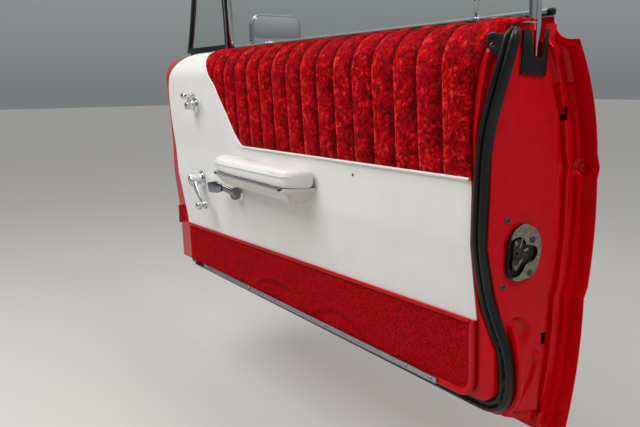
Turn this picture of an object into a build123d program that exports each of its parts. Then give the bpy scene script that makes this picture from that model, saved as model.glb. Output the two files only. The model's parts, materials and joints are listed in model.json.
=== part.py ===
from build123d import *
from math import atan2, cos, degrees, hypot, radians, sin, sqrt
import os

os.makedirs("parts", exist_ok=True)

# Right-hand front door of a hardtop coupe, standing open on its two pillar hinges. Millimetres.
# X runs from the hinges to the latch, Y from the cabin outwards, Z up.
# The origin is the centre of the lower hinge's three bolts, on the face that meets the pillar.

# Hang of the door
open_angle = 62.5  # swing from shut to where the door stands
pillar_gap = 27.0  # pin axis to the pillar's face, door shut
bolt_inboard = 63.0  # pin axis to the hinge bolts, along the pillar's face
hinge_gap = 25.0  # pin axis to the door's own hinge face
hinge_spacing = 320.0  # lower hinge to upper hinge
hinge_height = 110.0  # trim's lower edge to the lower hinge
pin_depth = 112.0  # trim's face to the pin axis

# Hinges
leaf_thickness = 5.0
leaf_width = 70.0
pillar_leaf_height = 64.0
ear_thickness = 5.0
ear_play = 1.0
ear_root = 34.0  # how far an ear reaches along its leaf
knuckle_radius = 11.0
pin_radius = 5.5
pin_fit = 0.05
pin_head = 4.0
bolt_circle = 46.0
bolt_count = 3
bolt_hole_radius = 4.6

# Pressed inner shell
panel_length = 1205.0  # hinge face to the rear edge of the trim
shell_wall = 2.2
shoulder_reach = 36.0  # trim's rear edge to the shell's corner
corner_step = 6.0  # shell's corner behind the trim card
shut_face_lean = 13.0  # rearward drift of the shut face across its width
shut_face_width = 118.0
ridges = (
    # (inset from the skin, reach behind the shut face)
    (36.0, 8.0),
    (18.0, 16.0),
)
ridge_top = 480.0
flange_slots = (
    # (depth, height) of each slot's middle
    (140.0, 436.0),
    (123.0, 78.0),
)
slot_width = 10.0
slot_tall = 20.0
belt_slot_inner = 72.0  # inner side of the window slot
seal_ledge = 48.0  # depth of the ledge that carries the lower seal
seal_ledge_low = 70.0
heel_top = 112.0  # top of the plate that carries the seal round the lower corner
heel_margin = 4.0
heel_thickness = 5.0
flare_start = 400.0  # where the rear edge starts to sweep back
flare_reach = 34.0  # how far it has swept at the top
flare_width = 36.0
notch_foot = 512.0  # notch in the shut face for the glass channel
notch_width = 22.0
notch_reach = 60.0
floor_drop = 70.0

# Outer skin at the door's ends, chained from its crease
skin_thickness = 2.2
skin_front_lap = 63.0  # skin's front edge ahead of the hinge face
skin_rear_lap = 88.0  # skin's rear edge behind the trim
skin_bottom = 82.0  # skin below the trim's lower edge
crease_depth = 188.0
crease_height = 353.0
shoulder_step = 8.0
shoulder_rise = 22.0
shoulder_bulge = 10.5
under_step = 5.0
under_drop = 19.0
flank_step = 8.0
flank_drop = 171.0
flank_bulge = 5.0
tuck_step = 8.0
tuck_drop = 16.0
sill_step = 33.0
sill_bulge = 9.0
belt_rise = 6.5  # top of the trim's roll to the belt
belt_step = 67.0
belt_flange = 33.0  # upright flange below the belt
bow_radius = 15000.0  # plan curve of the skin
shelf_drop = 35.0  # belt to the shelf at the top rear corner
shelf_length = 12.0
hem_inset = 2.0
hem_flange = 1.8

# Trim face, as depths from its flat middle
kick_depth = 17.0
kick_top_depth = 14.0
trim_bottom = 12.0
kick_height = 114.0
kick_slope = 22.0  # fall of the kick panel's top edge, rear to front
flat_start = 240.0
flat_end = 320.0
roll_lean = 10.5  # how far the trim leans into the cabin below its roll
roll_height = 507.0
roll_radius = 66.5
card_thickness = 5.0
seat_gap = 0.3

# Trim outline
front_top = 1190.0
front_low = 1123.0
front_knee = 400.0
front_corner = 120.0
rear_corner = 42.0
kick_rear = 5.0

# Velvet pad
velvet_proud = 7.0
velvet_front_top = 968.0
velvet_knee = (866.0, 475.0)
velvet_front_low = 760.0
velvet_foot = 341.0
velvet_corner = 30.0
channel_width = 58.4
first_seam = 874.9
seam_count = 15
seam_width = 3.0
seam_depth = 5.0

# Piping, carpet and sill moulding
piping_width = 5.0
piping_proud = 3.5
carpet_proud = 3.0
bead_height = 7.0
binding_width = 12.0
sill_strip_front = 1030.0
sill_strip_rear = 78.0
sill_strip_drop = 5.0
sill_strip_height = 17.0
sill_strip_proud = 4.0
rib_count = 4
rib_width = 1.6

# Weatherstrip
seal_width = 25.0
seal_height = 13.0
seal_middle = 19.0  # middle of the rear run behind the trim's edge
seal_floor = 28.0  # middle of the lower run below the trim's edge
seal_lean_start = 405.0
seal_lean = 33.0  # how far the run has swept back at its top
seal_top = 562.0
seal_bulge = 35.0  # how far the run swells to the rear round the lower corner
seal_bulge_start = 140.0
seal_bulge_low = 66.0
seal_turn = 505.0  # where the seat turns outwards to the belt
seal_turn_slope = 0.56
seal_bend = 46.0
seal_front = 1150.0

# Window glass and vent window
glass_thickness = 5.0
glass_foot_depth = 88.0
glass_mid_depth = 73.0
glass_head_depth = 28.0
glass_foot = 505.0
glass_mid = 720.0
glass_head = 968.0
glass_rear = 30.0
glass_corner = 36.0
post_foot = 958.0
post_lean = 34.0
post_width = 18.0
post_depth = 18.0
vent_front = 1245.0
vent_rake = 206.0
vent_bar = 13.0
vent_depth = 14.0
vent_glass_thickness = 4.0
channel_bar = 6.0
channel_depth = 11.0
channel_foot = 518.0
channel_tip = 34.0

# Latch
latch_depth = 71.0  # trim's face to the latch's middle
latch_height = 229.0
latch_corners = (
    # (outwards, up) from the latch's middle
    (-6.0, 43.0),
    (29.0, 20.0),
    (32.0, -8.0),
    (20.0, -45.0),
    (-14.0, -46.0),
    (-33.0, -26.0),
    (-31.0, 16.0),
    (-20.0, 38.0),
)
latch_thickness = 6.0
latch_corner = 10.0
jaw_width = 15.0
jaw_reach = 40.0
rotor_radius = 17.0
rotor_thickness = 4.0
rotor_slot = 12.0
latch_recess = 4.5
latch_play = 1.0
latch_edge = 1.5

# Rubber filler round the glass channel
filler_corners = (
    # (depth, drop below the belt), with the channel's notch in its top
    (52.0, 84.0),
    (101.0, 88.0),
    (104.0, 19.0),
    (98.0, 19.0),
    (93.0, 60.0),
    (76.0, 60.0),
    (70.0, 22.0),
    (54.0, 23.0),
)
filler_thickness = 4.0

# Armrest
arm_front = 836.0
arm_rear = 425.0
arm_reach = 72.0
arm_taper_front = 62.0
arm_taper_rear = 26.0
arm_top = 318.0
arm_pad = 30.0
arm_strip = 7.0
arm_base = 24.0
arm_corner = 24.0
arm_heel_length = 46.0
arm_heel_drop = 37.0
arm_heel_taper = 9.0
pull_length = 230.0
pull_width = 24.0
pull_height = 18.0
pull_wall = 4.0
arm_round = 10.0

# Handles
window_crank_at = (992.0, 240.0)
window_crank_arm = (52.0, -62.0)
vent_crank_at = (1002.0, 436.0)
vent_crank_arm = (34.0, 27.0)
handle_at = (752.0, 226.0)
handle_reach = 104.0
handle_rise = 14.0
escutcheon_radius = 24.0
escutcheon_height = 8.0
crank_lift = 24.0
knob_radius = 9.0
knob_height = 22.0
hub_radius = 12.0
arm_thickness = 6.0
lock_ferrule_radius = 8.0
lock_ferrule_height = 3.0
lock_knob_at = 60.0
lock_knob_radius = 5.0
lock_knob_height = 34.0

# Outside fittings
moulding_height = 12.0
moulding_width = 9.0
wiper_thickness = 3.0
wiper_height = 26.0
outside_foot_radius = 9.0
outside_handle_rise = 57.0  # shoulder up to the handle
outside_handle_length = 150.0
outside_handle_rear = 48.0
outside_handle_stand = 34.0
cylinder_rise = 17.0
cylinder_radius = 11.0
cylinder_stand = 3.0
mirror_at = (975.0, 215.0, 625.0)
mirror_width = 155.0
mirror_tall = 92.0
mirror_thickness = 26.0
mirror_corner = 30.0
mirror_glass_inset = 5.0
mirror_glass_thickness = 3.0
mirror_foot_stand = 28.0
mirror_foot_height = 552.0
mirror_foot_long = 70.0
mirror_foot_tall = 34.0
mirror_round = 12.0
mirror_stalk_radius = 8.0

# Places worked out from the sizes above
swing = radians(open_angle)
pin_x = pillar_gap * cos(swing) + bolt_inboard * sin(swing)
pin_y = bolt_inboard * cos(swing) - pillar_gap * sin(swing)
cabin_y = pin_y - pin_depth
rear_x = pin_x + hinge_gap + panel_length
sill_z = -hinge_height
bow_middle = (skin_rear_lap - panel_length - skin_front_lap) / 2
bow_half_length = (panel_length + skin_front_lap + skin_rear_lap) / 2
bow_axis_y = cabin_y - bow_radius
bow_reach = hypot(bow_radius, bow_half_length)
bow_half = 1.15 * degrees(bow_half_length / bow_radius)
bow_axis = Axis((rear_x + bow_middle, bow_axis_y, 0), (0, 0, -1))
belt_depth = crease_depth - belt_step
shoulder_depth = crease_depth - shoulder_step
shoulder_height = crease_height + shoulder_rise
under_depth = crease_depth - under_step
under_height = crease_height - under_drop
flank_depth = under_depth - flank_step
flank_height = under_height - flank_drop
tuck_depth = flank_depth - tuck_step
tuck_height = flank_height - tuck_drop
sill_depth = tuck_depth - sill_step
shut_start = card_thickness + corner_step
roll_depth = roll_radius - roll_lean
roll_top = roll_height + roll_radius
belt_height = roll_top + belt_rise
vent_sill = belt_height
shell_top = roll_top - card_thickness - seat_gap
far = 2000.0  # longer than any piece, for cuts that pass right through


# Sketch planes, all measured from the trim's lower rear corner
def side(depth, along=0.0, height=0.0):
    """Seen from the cabin: local x to the latch, local y up, normal into the cabin."""
    return Plane(origin=(rear_x + along, cabin_y + depth, sill_z + height), x_dir=(1, 0, 0), z_dir=(0, -1, 0))


def across(along):
    """Seen from the latch end: local x outwards, local y up, normal to the latch."""
    return Plane(origin=(rear_x + along, cabin_y, sill_z), x_dir=(0, 1, 0), z_dir=(1, 0, 0))


def level(height):
    """Seen from above: local x to the latch, local y outwards."""
    return Plane(origin=(rear_x, cabin_y, sill_z + height), x_dir=(1, 0, 0), z_dir=(0, 0, 1))


def bow_start():
    """The section plane at the front end of the bowed skin."""
    turn = radians(bow_half)
    return Plane(
        origin=(rear_x + bow_middle - bow_reach * sin(turn), bow_axis_y + bow_reach * cos(turn), sill_z),
        x_dir=(-sin(turn), cos(turn), 0),
        z_dir=(cos(turn), sin(turn), 0),
    )


def bow_out(along):
    """How far the bow carries the skin outwards at a place along the door."""
    return sqrt(bow_reach**2 - (along - bow_middle) ** 2) - bow_radius


def skin_line(inset):
    """Section of the skin from belt to sill, moved towards the cabin by inset."""
    belt = (belt_depth - inset, belt_height)
    flange = (belt_depth - inset, belt_height - belt_flange)
    shoulder = (shoulder_depth - inset, shoulder_height)
    crease = (crease_depth - inset, crease_height)
    under = (under_depth - inset, under_height)
    flank = (flank_depth - inset, flank_height)
    tuck = (tuck_depth - inset, tuck_height)
    sill = (sill_depth - inset, -skin_bottom)
    upper_mid = (
        (flange[0] + shoulder[0]) / 2 + shoulder_bulge,
        (flange[1] + shoulder[1]) / 2 + shoulder_bulge / 3,
    )
    flank_mid = ((under[0] + flank[0]) / 2 + flank_bulge, (under[1] + flank[1]) / 2)
    sill_mid = ((tuck[0] + sill[0]) / 2 + sill_bulge, (tuck[1] + sill[1]) / 2)
    Line(belt, flange)
    ThreePointArc(flange, upper_mid, shoulder)
    Line(shoulder, crease)
    Line(crease, under)
    ThreePointArc(under, flank_mid, flank)
    Line(flank, tuck)
    ThreePointArc(tuck, sill_mid, sill)
    return belt, sill


def skin_band(outer, inner):
    """Closed section between two skin lines."""
    with BuildLine() as outline:
        top_out, low_out = skin_line(outer)
        top_in, low_in = skin_line(inner)
        Line(top_out, top_in)
        Line(low_out, low_in)
    make_face(outline.edges())


def skin_bulk(inset):
    """Closed section of all that lies on the cabin side of a skin line."""
    with BuildLine() as outline:
        top, low = skin_line(inset)
        Polyline(top, (top[0], far / 2), (-far / 2, far / 2), (-far / 2, -far / 2), (low[0], -far / 2), low)
    make_face(outline.edges())


def skin_outline(inset):
    """Side outline of the skin, drawn in by inset, its top rear corner swept down to a shelf."""
    front = -panel_length - skin_front_lap + inset
    rear = skin_rear_lap - inset
    low = -skin_bottom + inset
    top = belt_height - inset
    shelf_end = (rear - shelf_length, top - shelf_drop)
    sweep_mid = (shelf_end[0] - shelf_drop * sin(radians(45)), top - shelf_drop * sin(radians(45)))
    sweep_top = (shelf_end[0] - shelf_drop, top)
    with BuildLine() as outline:
        Polyline((front, low), (rear, low), (rear, top - shelf_drop), shelf_end)
        ThreePointArc(shelf_end, sweep_mid, sweep_top)
        Polyline(sweep_top, (front, top), (front, low))
    make_face(outline.edges())


def trim_line(proud):
    """Section of the trim's face, stood proud into the cabin; returns its two ends."""
    low = (kick_depth - proud, -trim_bottom)
    kick = (kick_top_depth - proud, kick_height)
    flat_low = (-proud, flat_start)
    flat_high = (-proud, flat_end)
    roll = (-roll_lean - proud, roll_height)
    Polyline(low, kick, flat_low, flat_high, roll)
    return low, roll


def roll_arc(roll, depth):
    """Quarter turn over the belt from the top of the trim's face, sunk by depth; returns its top."""
    top = (roll_depth, roll_top - depth)
    RadiusArc(roll, top, roll_radius - depth)
    return top


def trim_band(proud, depth):
    """Closed section of trim, from its face back to its seat, rolled over at the belt."""
    with BuildLine() as outline:
        low_face, roll_face = trim_line(proud)
        low_back, roll_back = trim_line(-depth)
        Line(low_face, low_back)
        face_top = roll_arc(roll_face, -proud)
        back_top = roll_arc(roll_back, depth)
        Polyline(face_top, (belt_slot_inner, face_top[1]), (belt_slot_inner, back_top[1]), back_top)
    make_face(outline.edges())


def rear_sweep(out, rise):
    """Rear edge of the trim from its foot to rise, swept back towards the belt, moved back by out."""
    slope = flare_reach / (roll_top - flare_start)
    return FilletPolyline(
        (out, flat_start),
        (out, flare_start),
        (out + slope * (rise - flare_start), rise),
        radius=flare_start / 2,
    )


def trim_outline():
    """Side outline of the whole trim."""
    rise = roll_top + far / 10
    with BuildLine() as outline:
        edge = rear_sweep(0, rise)
        Polyline(edge @ 1, (-front_top + front_corner, rise), (-front_top + front_corner, roll_top))
        RadiusArc(
            (-front_top + front_corner, roll_top),
            (-front_top, roll_top - front_corner),
            -front_corner,
        )
        Polyline(
            (-front_top, roll_top - front_corner),
            (-front_top, front_knee),
            (-front_low, -trim_bottom),
            (kick_rear, -trim_bottom),
            (kick_rear, kick_height),
            (0, flat_start),
        )
    make_face(outline.edges())


def kick_area(top):
    """All below the kick panel's sloping top edge."""
    fall = kick_slope / panel_length
    with BuildLine() as outline:
        Polyline(
            (far, top + fall * far),
            (-far, top - fall * far),
            (-far, -far),
            (far, -far),
            close=True,
        )
    make_face(outline.edges())


def velvet_outline(grow):
    """Side outline of the velvet pad, drawn out by grow at its foot and front."""
    rise = roll_top + far / 10
    knee = (-velvet_knee[0], velvet_knee[1])
    run = (velvet_front_top - velvet_knee[0]) / (roll_top - velvet_knee[1])
    front = knee[0] - run * (rise - knee[1])
    with BuildSketch(Plane.XY, mode=Mode.PRIVATE) as shape:
        with BuildLine() as outline:
            FilletPolyline(
                (far / 10, velvet_foot),
                (-velvet_front_low, velvet_foot),
                knee,
                (front, rise),
                radius=velvet_corner,
            )
            Polyline((front, rise), (far / 10, rise), (far / 10, velvet_foot))
        make_face(outline.edges())
        if grow > 0:
            offset(amount=grow, kind=Kind.INTERSECTION)
    add(shape.sketch)


def leaf_plane(height, turn):
    """Plan plane on the pin axis, turned with its leaf."""
    return Plane(origin=(pin_x, pin_y, height), x_dir=(cos(turn), sin(turn), 0), z_dir=(0, 0, 1))


# Hinges: pillar leaf, door leaf and pin, low and high
door_leaf_height = pillar_leaf_height - 2 * (ear_thickness + ear_play)
hinge_levels = {"lower": 0.0, "upper": hinge_spacing}
hinge_leaves = {
    # leaf: (turn, plate's near side from the pin, height)
    "pillar": (-swing, -pillar_gap, pillar_leaf_height),
    "door": (0.0, hinge_gap - leaf_thickness, door_leaf_height),
}
hinge_parts = {}
for place, height in hinge_levels.items():
    for side_name, (turn, plate_near, tall) in hinge_leaves.items():
        with BuildPart() as leaf:
            with BuildSketch(leaf_plane(height - tall / 2, turn)):
                with Locations((plate_near + leaf_thickness / 2, -bolt_inboard)):
                    Rectangle(leaf_thickness, leaf_width)
            extrude(amount=tall)
            for ear_low in (height - tall / 2, height + tall / 2 - ear_thickness):
                with BuildSketch(leaf_plane(ear_low, turn)):
                    Circle(knuckle_radius)
                    root_middle = -bolt_inboard + leaf_width / 2 - ear_root / 2
                    with Locations((plate_near + leaf_thickness / 2, root_middle)):
                        Rectangle(leaf_thickness, ear_root)
                    make_hull()
                extrude(amount=ear_thickness)
            with BuildSketch(leaf_plane(height - tall, turn)):
                Circle(pin_radius + pin_fit)
            extrude(amount=2 * tall, mode=Mode.SUBTRACT)
            if side_name == "pillar":
                bolt_face = Plane(
                    origin=leaf_plane(height, turn).from_local_coords((plate_near, -bolt_inboard, 0)),
                    x_dir=(-sin(turn), cos(turn), 0),
                    z_dir=(cos(turn), sin(turn), 0),
                )
                with BuildSketch(bolt_face):
                    with PolarLocations(bolt_circle / 2, bolt_count, start_angle=90):
                        Circle(bolt_hole_radius)
                extrude(amount=2 * leaf_thickness, both=True, mode=Mode.SUBTRACT)
        hinge_parts[f"hinge_{place}_{side_name}_leaf"] = leaf.part
    with BuildPart() as pin:
        with BuildSketch(leaf_plane(height - pillar_leaf_height / 2 - pin_head, 0.0)):
            Circle(pin_radius)
        extrude(amount=pillar_leaf_height + 2 * pin_head)
        for head_low in (height - pillar_leaf_height / 2 - pin_head, height + pillar_leaf_height / 2):
            with BuildSketch(leaf_plane(head_low, 0.0)):
                Circle(pin_radius + 2.5)
            extrude(amount=pin_head)
    hinge_parts[f"hinge_{place}_pin"] = pin.part

# Space inside the shell
shut_end = shoulder_reach + shut_face_lean


def shell_plan():
    """Plan of the shell: hinge face, shoulder and shut face."""
    with BuildLine() as outline:
        Polyline(
            (-panel_length, -far / 10),
            (shoulder_reach, -far / 10),
            (shoulder_reach, shut_start),
            (shut_end, shut_start + shut_face_width),
            (shut_end, far / 5),
            (-panel_length, far / 5),
            close=True,
        )
    make_face(outline.edges())


def shell_section(wall):
    """Section of the shell from its floor up the inner face to the belt, drawn in by wall."""
    seat = card_thickness + seat_gap + wall
    slot = belt_slot_inner - wall
    with BuildLine() as outline:
        low, roll = trim_line(-seat)
        Polyline(
            low,
            (low[0], -seal_floor - shell_wall + wall),
            (sill_depth, -floor_drop + wall),
            (far / 5, -floor_drop + wall),
            (far / 5, far / 2 if wall else shell_top),
        )
        top = roll_arc(roll, seat)
        if wall:
            Polyline((far / 5, far / 2), (slot, far / 2), (slot, top[1]), top)
        else:
            Line((far / 5, shell_top), top)
    make_face(outline.edges())


def seal_run(out):
    """Path of the weatherstrip's line that lies out from its middle: down the rear, along the floor."""
    rear = seal_middle + out
    swell = rear + seal_bulge
    low = -seal_floor - out
    sweep = seal_lean / (seal_top - seal_lean_start)
    return FilletPolyline(
        (rear + sweep * (far / 2 - seal_lean_start), far / 2),
        (rear, seal_lean_start),
        (rear, seal_bulge_start),
        (swell, seal_bulge_low),
        (swell, low),
        (-far, low),
        radius=[2 * seal_bend, seal_bend - out, seal_bend - out, seal_bend + out],
    )


def seat_line(lift):
    """Section of the weatherstrip's seat, moved outwards by lift; returns its two ends."""
    seat = card_thickness + seat_gap + lift
    top = (seat + seal_turn_slope * (far / 2 - seal_turn), far / 2)
    foot = (seal_ledge + lift, -far / 4)
    Polyline(top, (seat, seal_turn), (seat, flat_start), (seal_ledge + lift, seal_ledge_low), foot)
    return top, foot


def ledge_block(margin):
    """All that lies beyond the weatherstrip's inner edge and on its cabin side, grown by margin."""
    with BuildPart() as block:
        with BuildSketch(across(-far)):
            with BuildLine() as cut:
                top, foot = seat_line(margin)
                Polyline(top, (-far / 4, top[1]), (-far / 4, foot[1]), foot)
            make_face(cut.edges())
        extrude(amount=2 * far)
        with BuildSketch(side(-far / 4)):
            with BuildLine() as run:
                seal_run(-seal_width / 2 - seat_gap - margin)
                front_low = run.vertices().sort_by(Axis.X)[0]
                rear_high = run.vertices().sort_by(Axis.Y)[-1]
                Polyline((front_low.X, front_low.Y), (-far, far / 2), (rear_high.X, rear_high.Y))
            Rectangle(2 * far, 3 * far)
            make_face(run.edges(), mode=Mode.SUBTRACT)
        extrude(amount=-far, mode=Mode.INTERSECT)
    return block.part


def ridge_block(outer, inner, reach):
    """Upright ridge of the shut face that follows the skin between two insets, up to reach."""
    with BuildPart() as block:
        with BuildSketch(bow_start()):
            skin_band(outer, inner)
        revolve(axis=bow_axis, revolution_arc=2 * bow_half)
        with BuildSketch(side(-far / 4)):
            with Locations(((reach - panel_length) / 2, (ridge_top - floor_drop) / 2)):
                Rectangle(reach + panel_length, ridge_top + floor_drop)
        extrude(amount=-far, mode=Mode.INTERSECT)
    return block.part


with BuildPart() as hollow:
    with BuildSketch(level(-far / 4)):
        shell_plan()
        offset(amount=-shell_wall, kind=Kind.INTERSECTION)
    extrude(amount=far)
    with BuildSketch(across(-far)):
        shell_section(shell_wall)
    extrude(amount=2 * far, mode=Mode.INTERSECT)
    add(ledge_block(shell_wall), mode=Mode.SUBTRACT)

with BuildPart() as hem:
    with BuildSketch(bow_start()):
        skin_band(skin_thickness, skin_thickness + hem_flange)
    revolve(axis=bow_axis, revolution_arc=2 * bow_half)
    with BuildSketch(side(-far / 4)):
        skin_outline(hem_inset)
    extrude(amount=-far, mode=Mode.INTERSECT)
    add(hollow.part, mode=Mode.SUBTRACT)

# Corner of the shell that sweeps back towards the belt with the trim's rear edge
with BuildPart() as swept_corner:
    with BuildSketch(side(card_thickness + seat_gap)):
        slope = flare_reach / (roll_top - flare_start)
        with BuildLine():
            Polyline(
                (shoulder_reach - shell_wall, flare_start),
                (shoulder_reach, flare_start),
                (shoulder_reach + slope * (shell_top - flare_start), shell_top),
                (shoulder_reach - shell_wall, shell_top),
                close=True,
            )
        make_face()
    extrude(amount=-flare_width)
    with BuildSketch(level(0)):
        with BuildLine():
            Polyline(
                (0, 0),
                (shoulder_reach + flare_reach, 0),
                (shoulder_reach + flare_reach, shut_start),
                (shoulder_reach + corner_step, flare_width + corner_step),
                (0, flare_width + corner_step),
                close=True,
            )
        make_face()
    extrude(amount=far, mode=Mode.INTERSECT)

with BuildPart() as inner_shell:
    with BuildSketch(level(-far / 4)):
        shell_plan()
    extrude(amount=far)
    with BuildSketch(across(-far)):
        shell_section(0)
    extrude(amount=2 * far, mode=Mode.INTERSECT)
    with BuildSketch(bow_start()):
        skin_bulk(skin_thickness)
    revolve(axis=bow_axis, revolution_arc=2 * bow_half, mode=Mode.INTERSECT)
    add(swept_corner.part)
    add(ledge_block(0), mode=Mode.SUBTRACT)
    for inset, reach in ridges:
        add(ridge_block(skin_thickness, inset, shut_end + reach))
    add(hollow.part, mode=Mode.SUBTRACT)
    for inset, reach in ridges:
        add(
            ridge_block(skin_thickness, inset - shell_wall, shut_end + reach - shell_wall),
            mode=Mode.SUBTRACT,
        )
    add(hem.part)
    with BuildSketch(side(seal_ledge)):
        with BuildLine():
            outer = seal_run(seal_width / 2 + heel_margin)
            inner = seal_run(-seal_width / 2)
            Line(outer @ 0, inner @ 0)
            Line(outer @ 1, inner @ 1)
        make_face()
        with Locations((far / 2, heel_top - far / 2)):
            Rectangle(far, far, mode=Mode.INTERSECT)
    extrude(amount=-heel_thickness)
    with BuildSketch(level(notch_foot)):
        with Locations((shoulder_reach + notch_reach / 4, glass_foot_depth)):
            Rectangle(notch_reach, notch_width)
    extrude(amount=far / 4, mode=Mode.SUBTRACT)
    with BuildSketch(across(shut_end - ridges[0][1])):
        with Locations(*flange_slots):
            Rectangle(slot_width, slot_tall)
    extrude(amount=far / 4, mode=Mode.SUBTRACT)

with BuildPart() as outer_skin:
    with BuildSketch(bow_start()):
        skin_band(0, skin_thickness)
    revolve(axis=bow_axis, revolution_arc=2 * bow_half)
    with BuildSketch(side(-far / 4)):
        skin_outline(0)
    extrude(amount=-far, mode=Mode.INTERSECT)

# All that lies on the cabin side of the skin, to trim what is fixed on it
with BuildPart() as behind_skin:
    with BuildSketch(bow_start()):
        skin_bulk(-seat_gap)
    revolve(axis=bow_axis, revolution_arc=2 * bow_half)

# Trim
with BuildPart() as trim_panel:
    with BuildSketch(across(-far)):
        trim_band(0, card_thickness)
    extrude(amount=2 * far)
    with BuildSketch(side(-far / 4)):
        trim_outline()
    extrude(amount=-far, mode=Mode.INTERSECT)
    with BuildSketch(side(-far / 4)):
        velvet_outline(piping_width)
        kick_area(kick_height + bead_height)
    extrude(amount=-far, mode=Mode.SUBTRACT)

with BuildPart() as velvet_pad:
    with BuildSketch(across(-far)):
        trim_band(velvet_proud, card_thickness)
    extrude(amount=2 * far)
    with BuildSketch(side(-far / 4)):
        velvet_outline(0)
    extrude(amount=-far, mode=Mode.INTERSECT)
    with BuildSketch(side(-far / 4)):
        trim_outline()
    extrude(amount=-far, mode=Mode.INTERSECT)

with BuildPart() as piping:
    with BuildSketch(across(-far)):
        trim_band(piping_proud, card_thickness)
    extrude(amount=2 * far)
    with BuildSketch(side(-far / 4)):
        velvet_outline(piping_width)
    extrude(amount=-far, mode=Mode.INTERSECT)
    with BuildSketch(side(-far / 4)):
        trim_outline()
    extrude(amount=-far, mode=Mode.INTERSECT)
    with BuildSketch(side(-far / 4)):
        velvet_outline(0)
    extrude(amount=-far, mode=Mode.SUBTRACT)


# Carpet kick panel, its top bead and rear binding
def kick_outline(rear, top, bottom):
    """Side outline of the kick panel with its round lower rear corner and sloping top."""
    front = -front_low - 4
    front_rise = top + kick_slope * front / panel_length
    with BuildLine() as outline:
        Polyline((rear, top), (front, front_rise), (-front_low + 20, bottom), (rear - rear_corner, bottom))
        RadiusArc((rear - rear_corner, bottom), (rear, bottom + rear_corner), -rear_corner)
        Line((rear, bottom + rear_corner), (rear, top))
    make_face(outline.edges())


with BuildPart() as carpet_panel:
    with BuildSketch(across(-far)):
        trim_band(carpet_proud, card_thickness)
    extrude(amount=2 * far)
    with BuildSketch(side(-far / 4)):
        kick_outline(kick_rear - binding_width, kick_height, -trim_bottom)
    extrude(amount=-far, mode=Mode.INTERSECT)

with BuildPart() as carpet_binding:
    with BuildSketch(across(-far)):
        trim_band(carpet_proud + 1, card_thickness)
    extrude(amount=2 * far)
    with BuildSketch(side(-far / 4)):
        kick_outline(kick_rear, kick_height + bead_height, -trim_bottom)
    extrude(amount=-far, mode=Mode.INTERSECT)
    with BuildSketch(side(-far / 4)):
        kick_outline(kick_rear - binding_width, kick_height, -trim_bottom)
    extrude(amount=-far, mode=Mode.SUBTRACT)


# Seams of the velvet's channels
with BuildPart() as seam_cuts:
    with BuildSketch(across(-far)):
        trim_band(velvet_proud + 2, seam_depth - velvet_proud)
    extrude(amount=2 * far)
    with BuildSketch(side(-far / 4)):
        with Locations(*[(i * channel_width - first_seam, 0) for i in range(seam_count)]):
            Rectangle(seam_width, far)
    extrude(amount=-far, mode=Mode.INTERSECT)

velvet = velvet_pad.part - seam_cuts.part

# Ribbed strip along the lower edge of the carpet
with BuildPart() as sill_moulding:
    with BuildSketch(across(-sill_strip_front)):
        with BuildLine():
            face = kick_depth - carpet_proud - 3 * seat_gap
            low = -trim_bottom - sill_strip_drop
            high = low + sill_strip_height
            front = face - sill_strip_proud
            Polyline((face, low), (face, high), (front, high), (front, low), close=True)
        make_face()
        rib_pitch = sill_strip_height / (rib_count + 1)
        with Locations(*[(front, low + rib_pitch * (i + 1)) for i in range(rib_count)]):
            Rectangle(rib_width, rib_width, mode=Mode.SUBTRACT)
    extrude(amount=sill_strip_front - sill_strip_rear)

# Weatherstrip, double bead
with BuildPart() as weatherstrip:
    with BuildSketch(across(-far)):
        with BuildLine():
            top_seat, low_seat = seat_line(-seat_gap)
            top_face, low_face = seat_line(-seat_gap - seal_height)
            Line(top_seat, top_face)
            Line(low_seat, low_face)
        make_face()
    extrude(amount=2 * far)
    with BuildSketch(side(-far / 4)):
        with BuildLine():
            outer = seal_run(seal_width / 2)
            inner = seal_run(-seal_width / 2)
            Line(outer @ 0, inner @ 0)
            Line(outer @ 1, inner @ 1)
        make_face()
        with Locations((far / 2 - seal_front, seal_top - far / 2)):
            Rectangle(far, far, mode=Mode.INTERSECT)
    extrude(amount=-far, mode=Mode.INTERSECT)


# Glass, post and vent window lie on one curved section
def glass_line(shift):
    """Section of the side glass, moved outwards by shift; returns its foot and head."""
    foot = (glass_foot_depth + shift, glass_foot)
    head = (glass_head_depth + shift, glass_head)
    ThreePointArc(foot, (glass_mid_depth + shift, glass_mid), head)
    return foot, head


def glass_band(thickness):
    """Closed section of a piece that lies along the glass, thickness wide."""
    with BuildLine() as outline:
        foot_out, head_out = glass_line(thickness / 2)
        foot_in, head_in = glass_line(-thickness / 2)
        Line(foot_out, foot_in)
        Line(head_out, head_in)
    make_face(outline.edges())


post_top = post_foot - post_lean
post_slope = post_lean / (glass_head - vent_sill)
post_start = post_foot + post_slope * (vent_sill - glass_foot)
with BuildPart() as door_glass:
    with BuildSketch(across(-far)):
        glass_band(glass_thickness)
    extrude(amount=2 * far)
    with BuildSketch(side(-far / 4)):
        with BuildLine():
            Polyline(
                (-post_start + seat_gap, glass_foot),
                (glass_rear, glass_foot),
                (glass_rear, glass_head - glass_corner),
            )
            corner_low = (glass_rear, glass_head - glass_corner)
            corner_high = (glass_rear - glass_corner, glass_head)
            RadiusArc(corner_low, corner_high, -glass_corner)
            Polyline(
                corner_high,
                (-post_top + seat_gap, glass_head),
                (-post_start + seat_gap, glass_foot),
            )
        make_face()
    extrude(amount=-far, mode=Mode.INTERSECT)

with BuildPart() as glass_channel:
    with BuildSketch(across(-far)):
        glass_band(channel_depth)
    extrude(amount=2 * far)
    with BuildSketch(side(-far / 4)):
        with BuildLine():
            near = glass_rear + seat_gap
            Polyline(
                (near, channel_foot),
                (near + channel_bar, channel_foot + channel_tip),
                (near + channel_bar, glass_head - glass_corner),
                (near, glass_head - glass_corner),
                close=True,
            )
        make_face()
    extrude(amount=-far, mode=Mode.INTERSECT)

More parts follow.
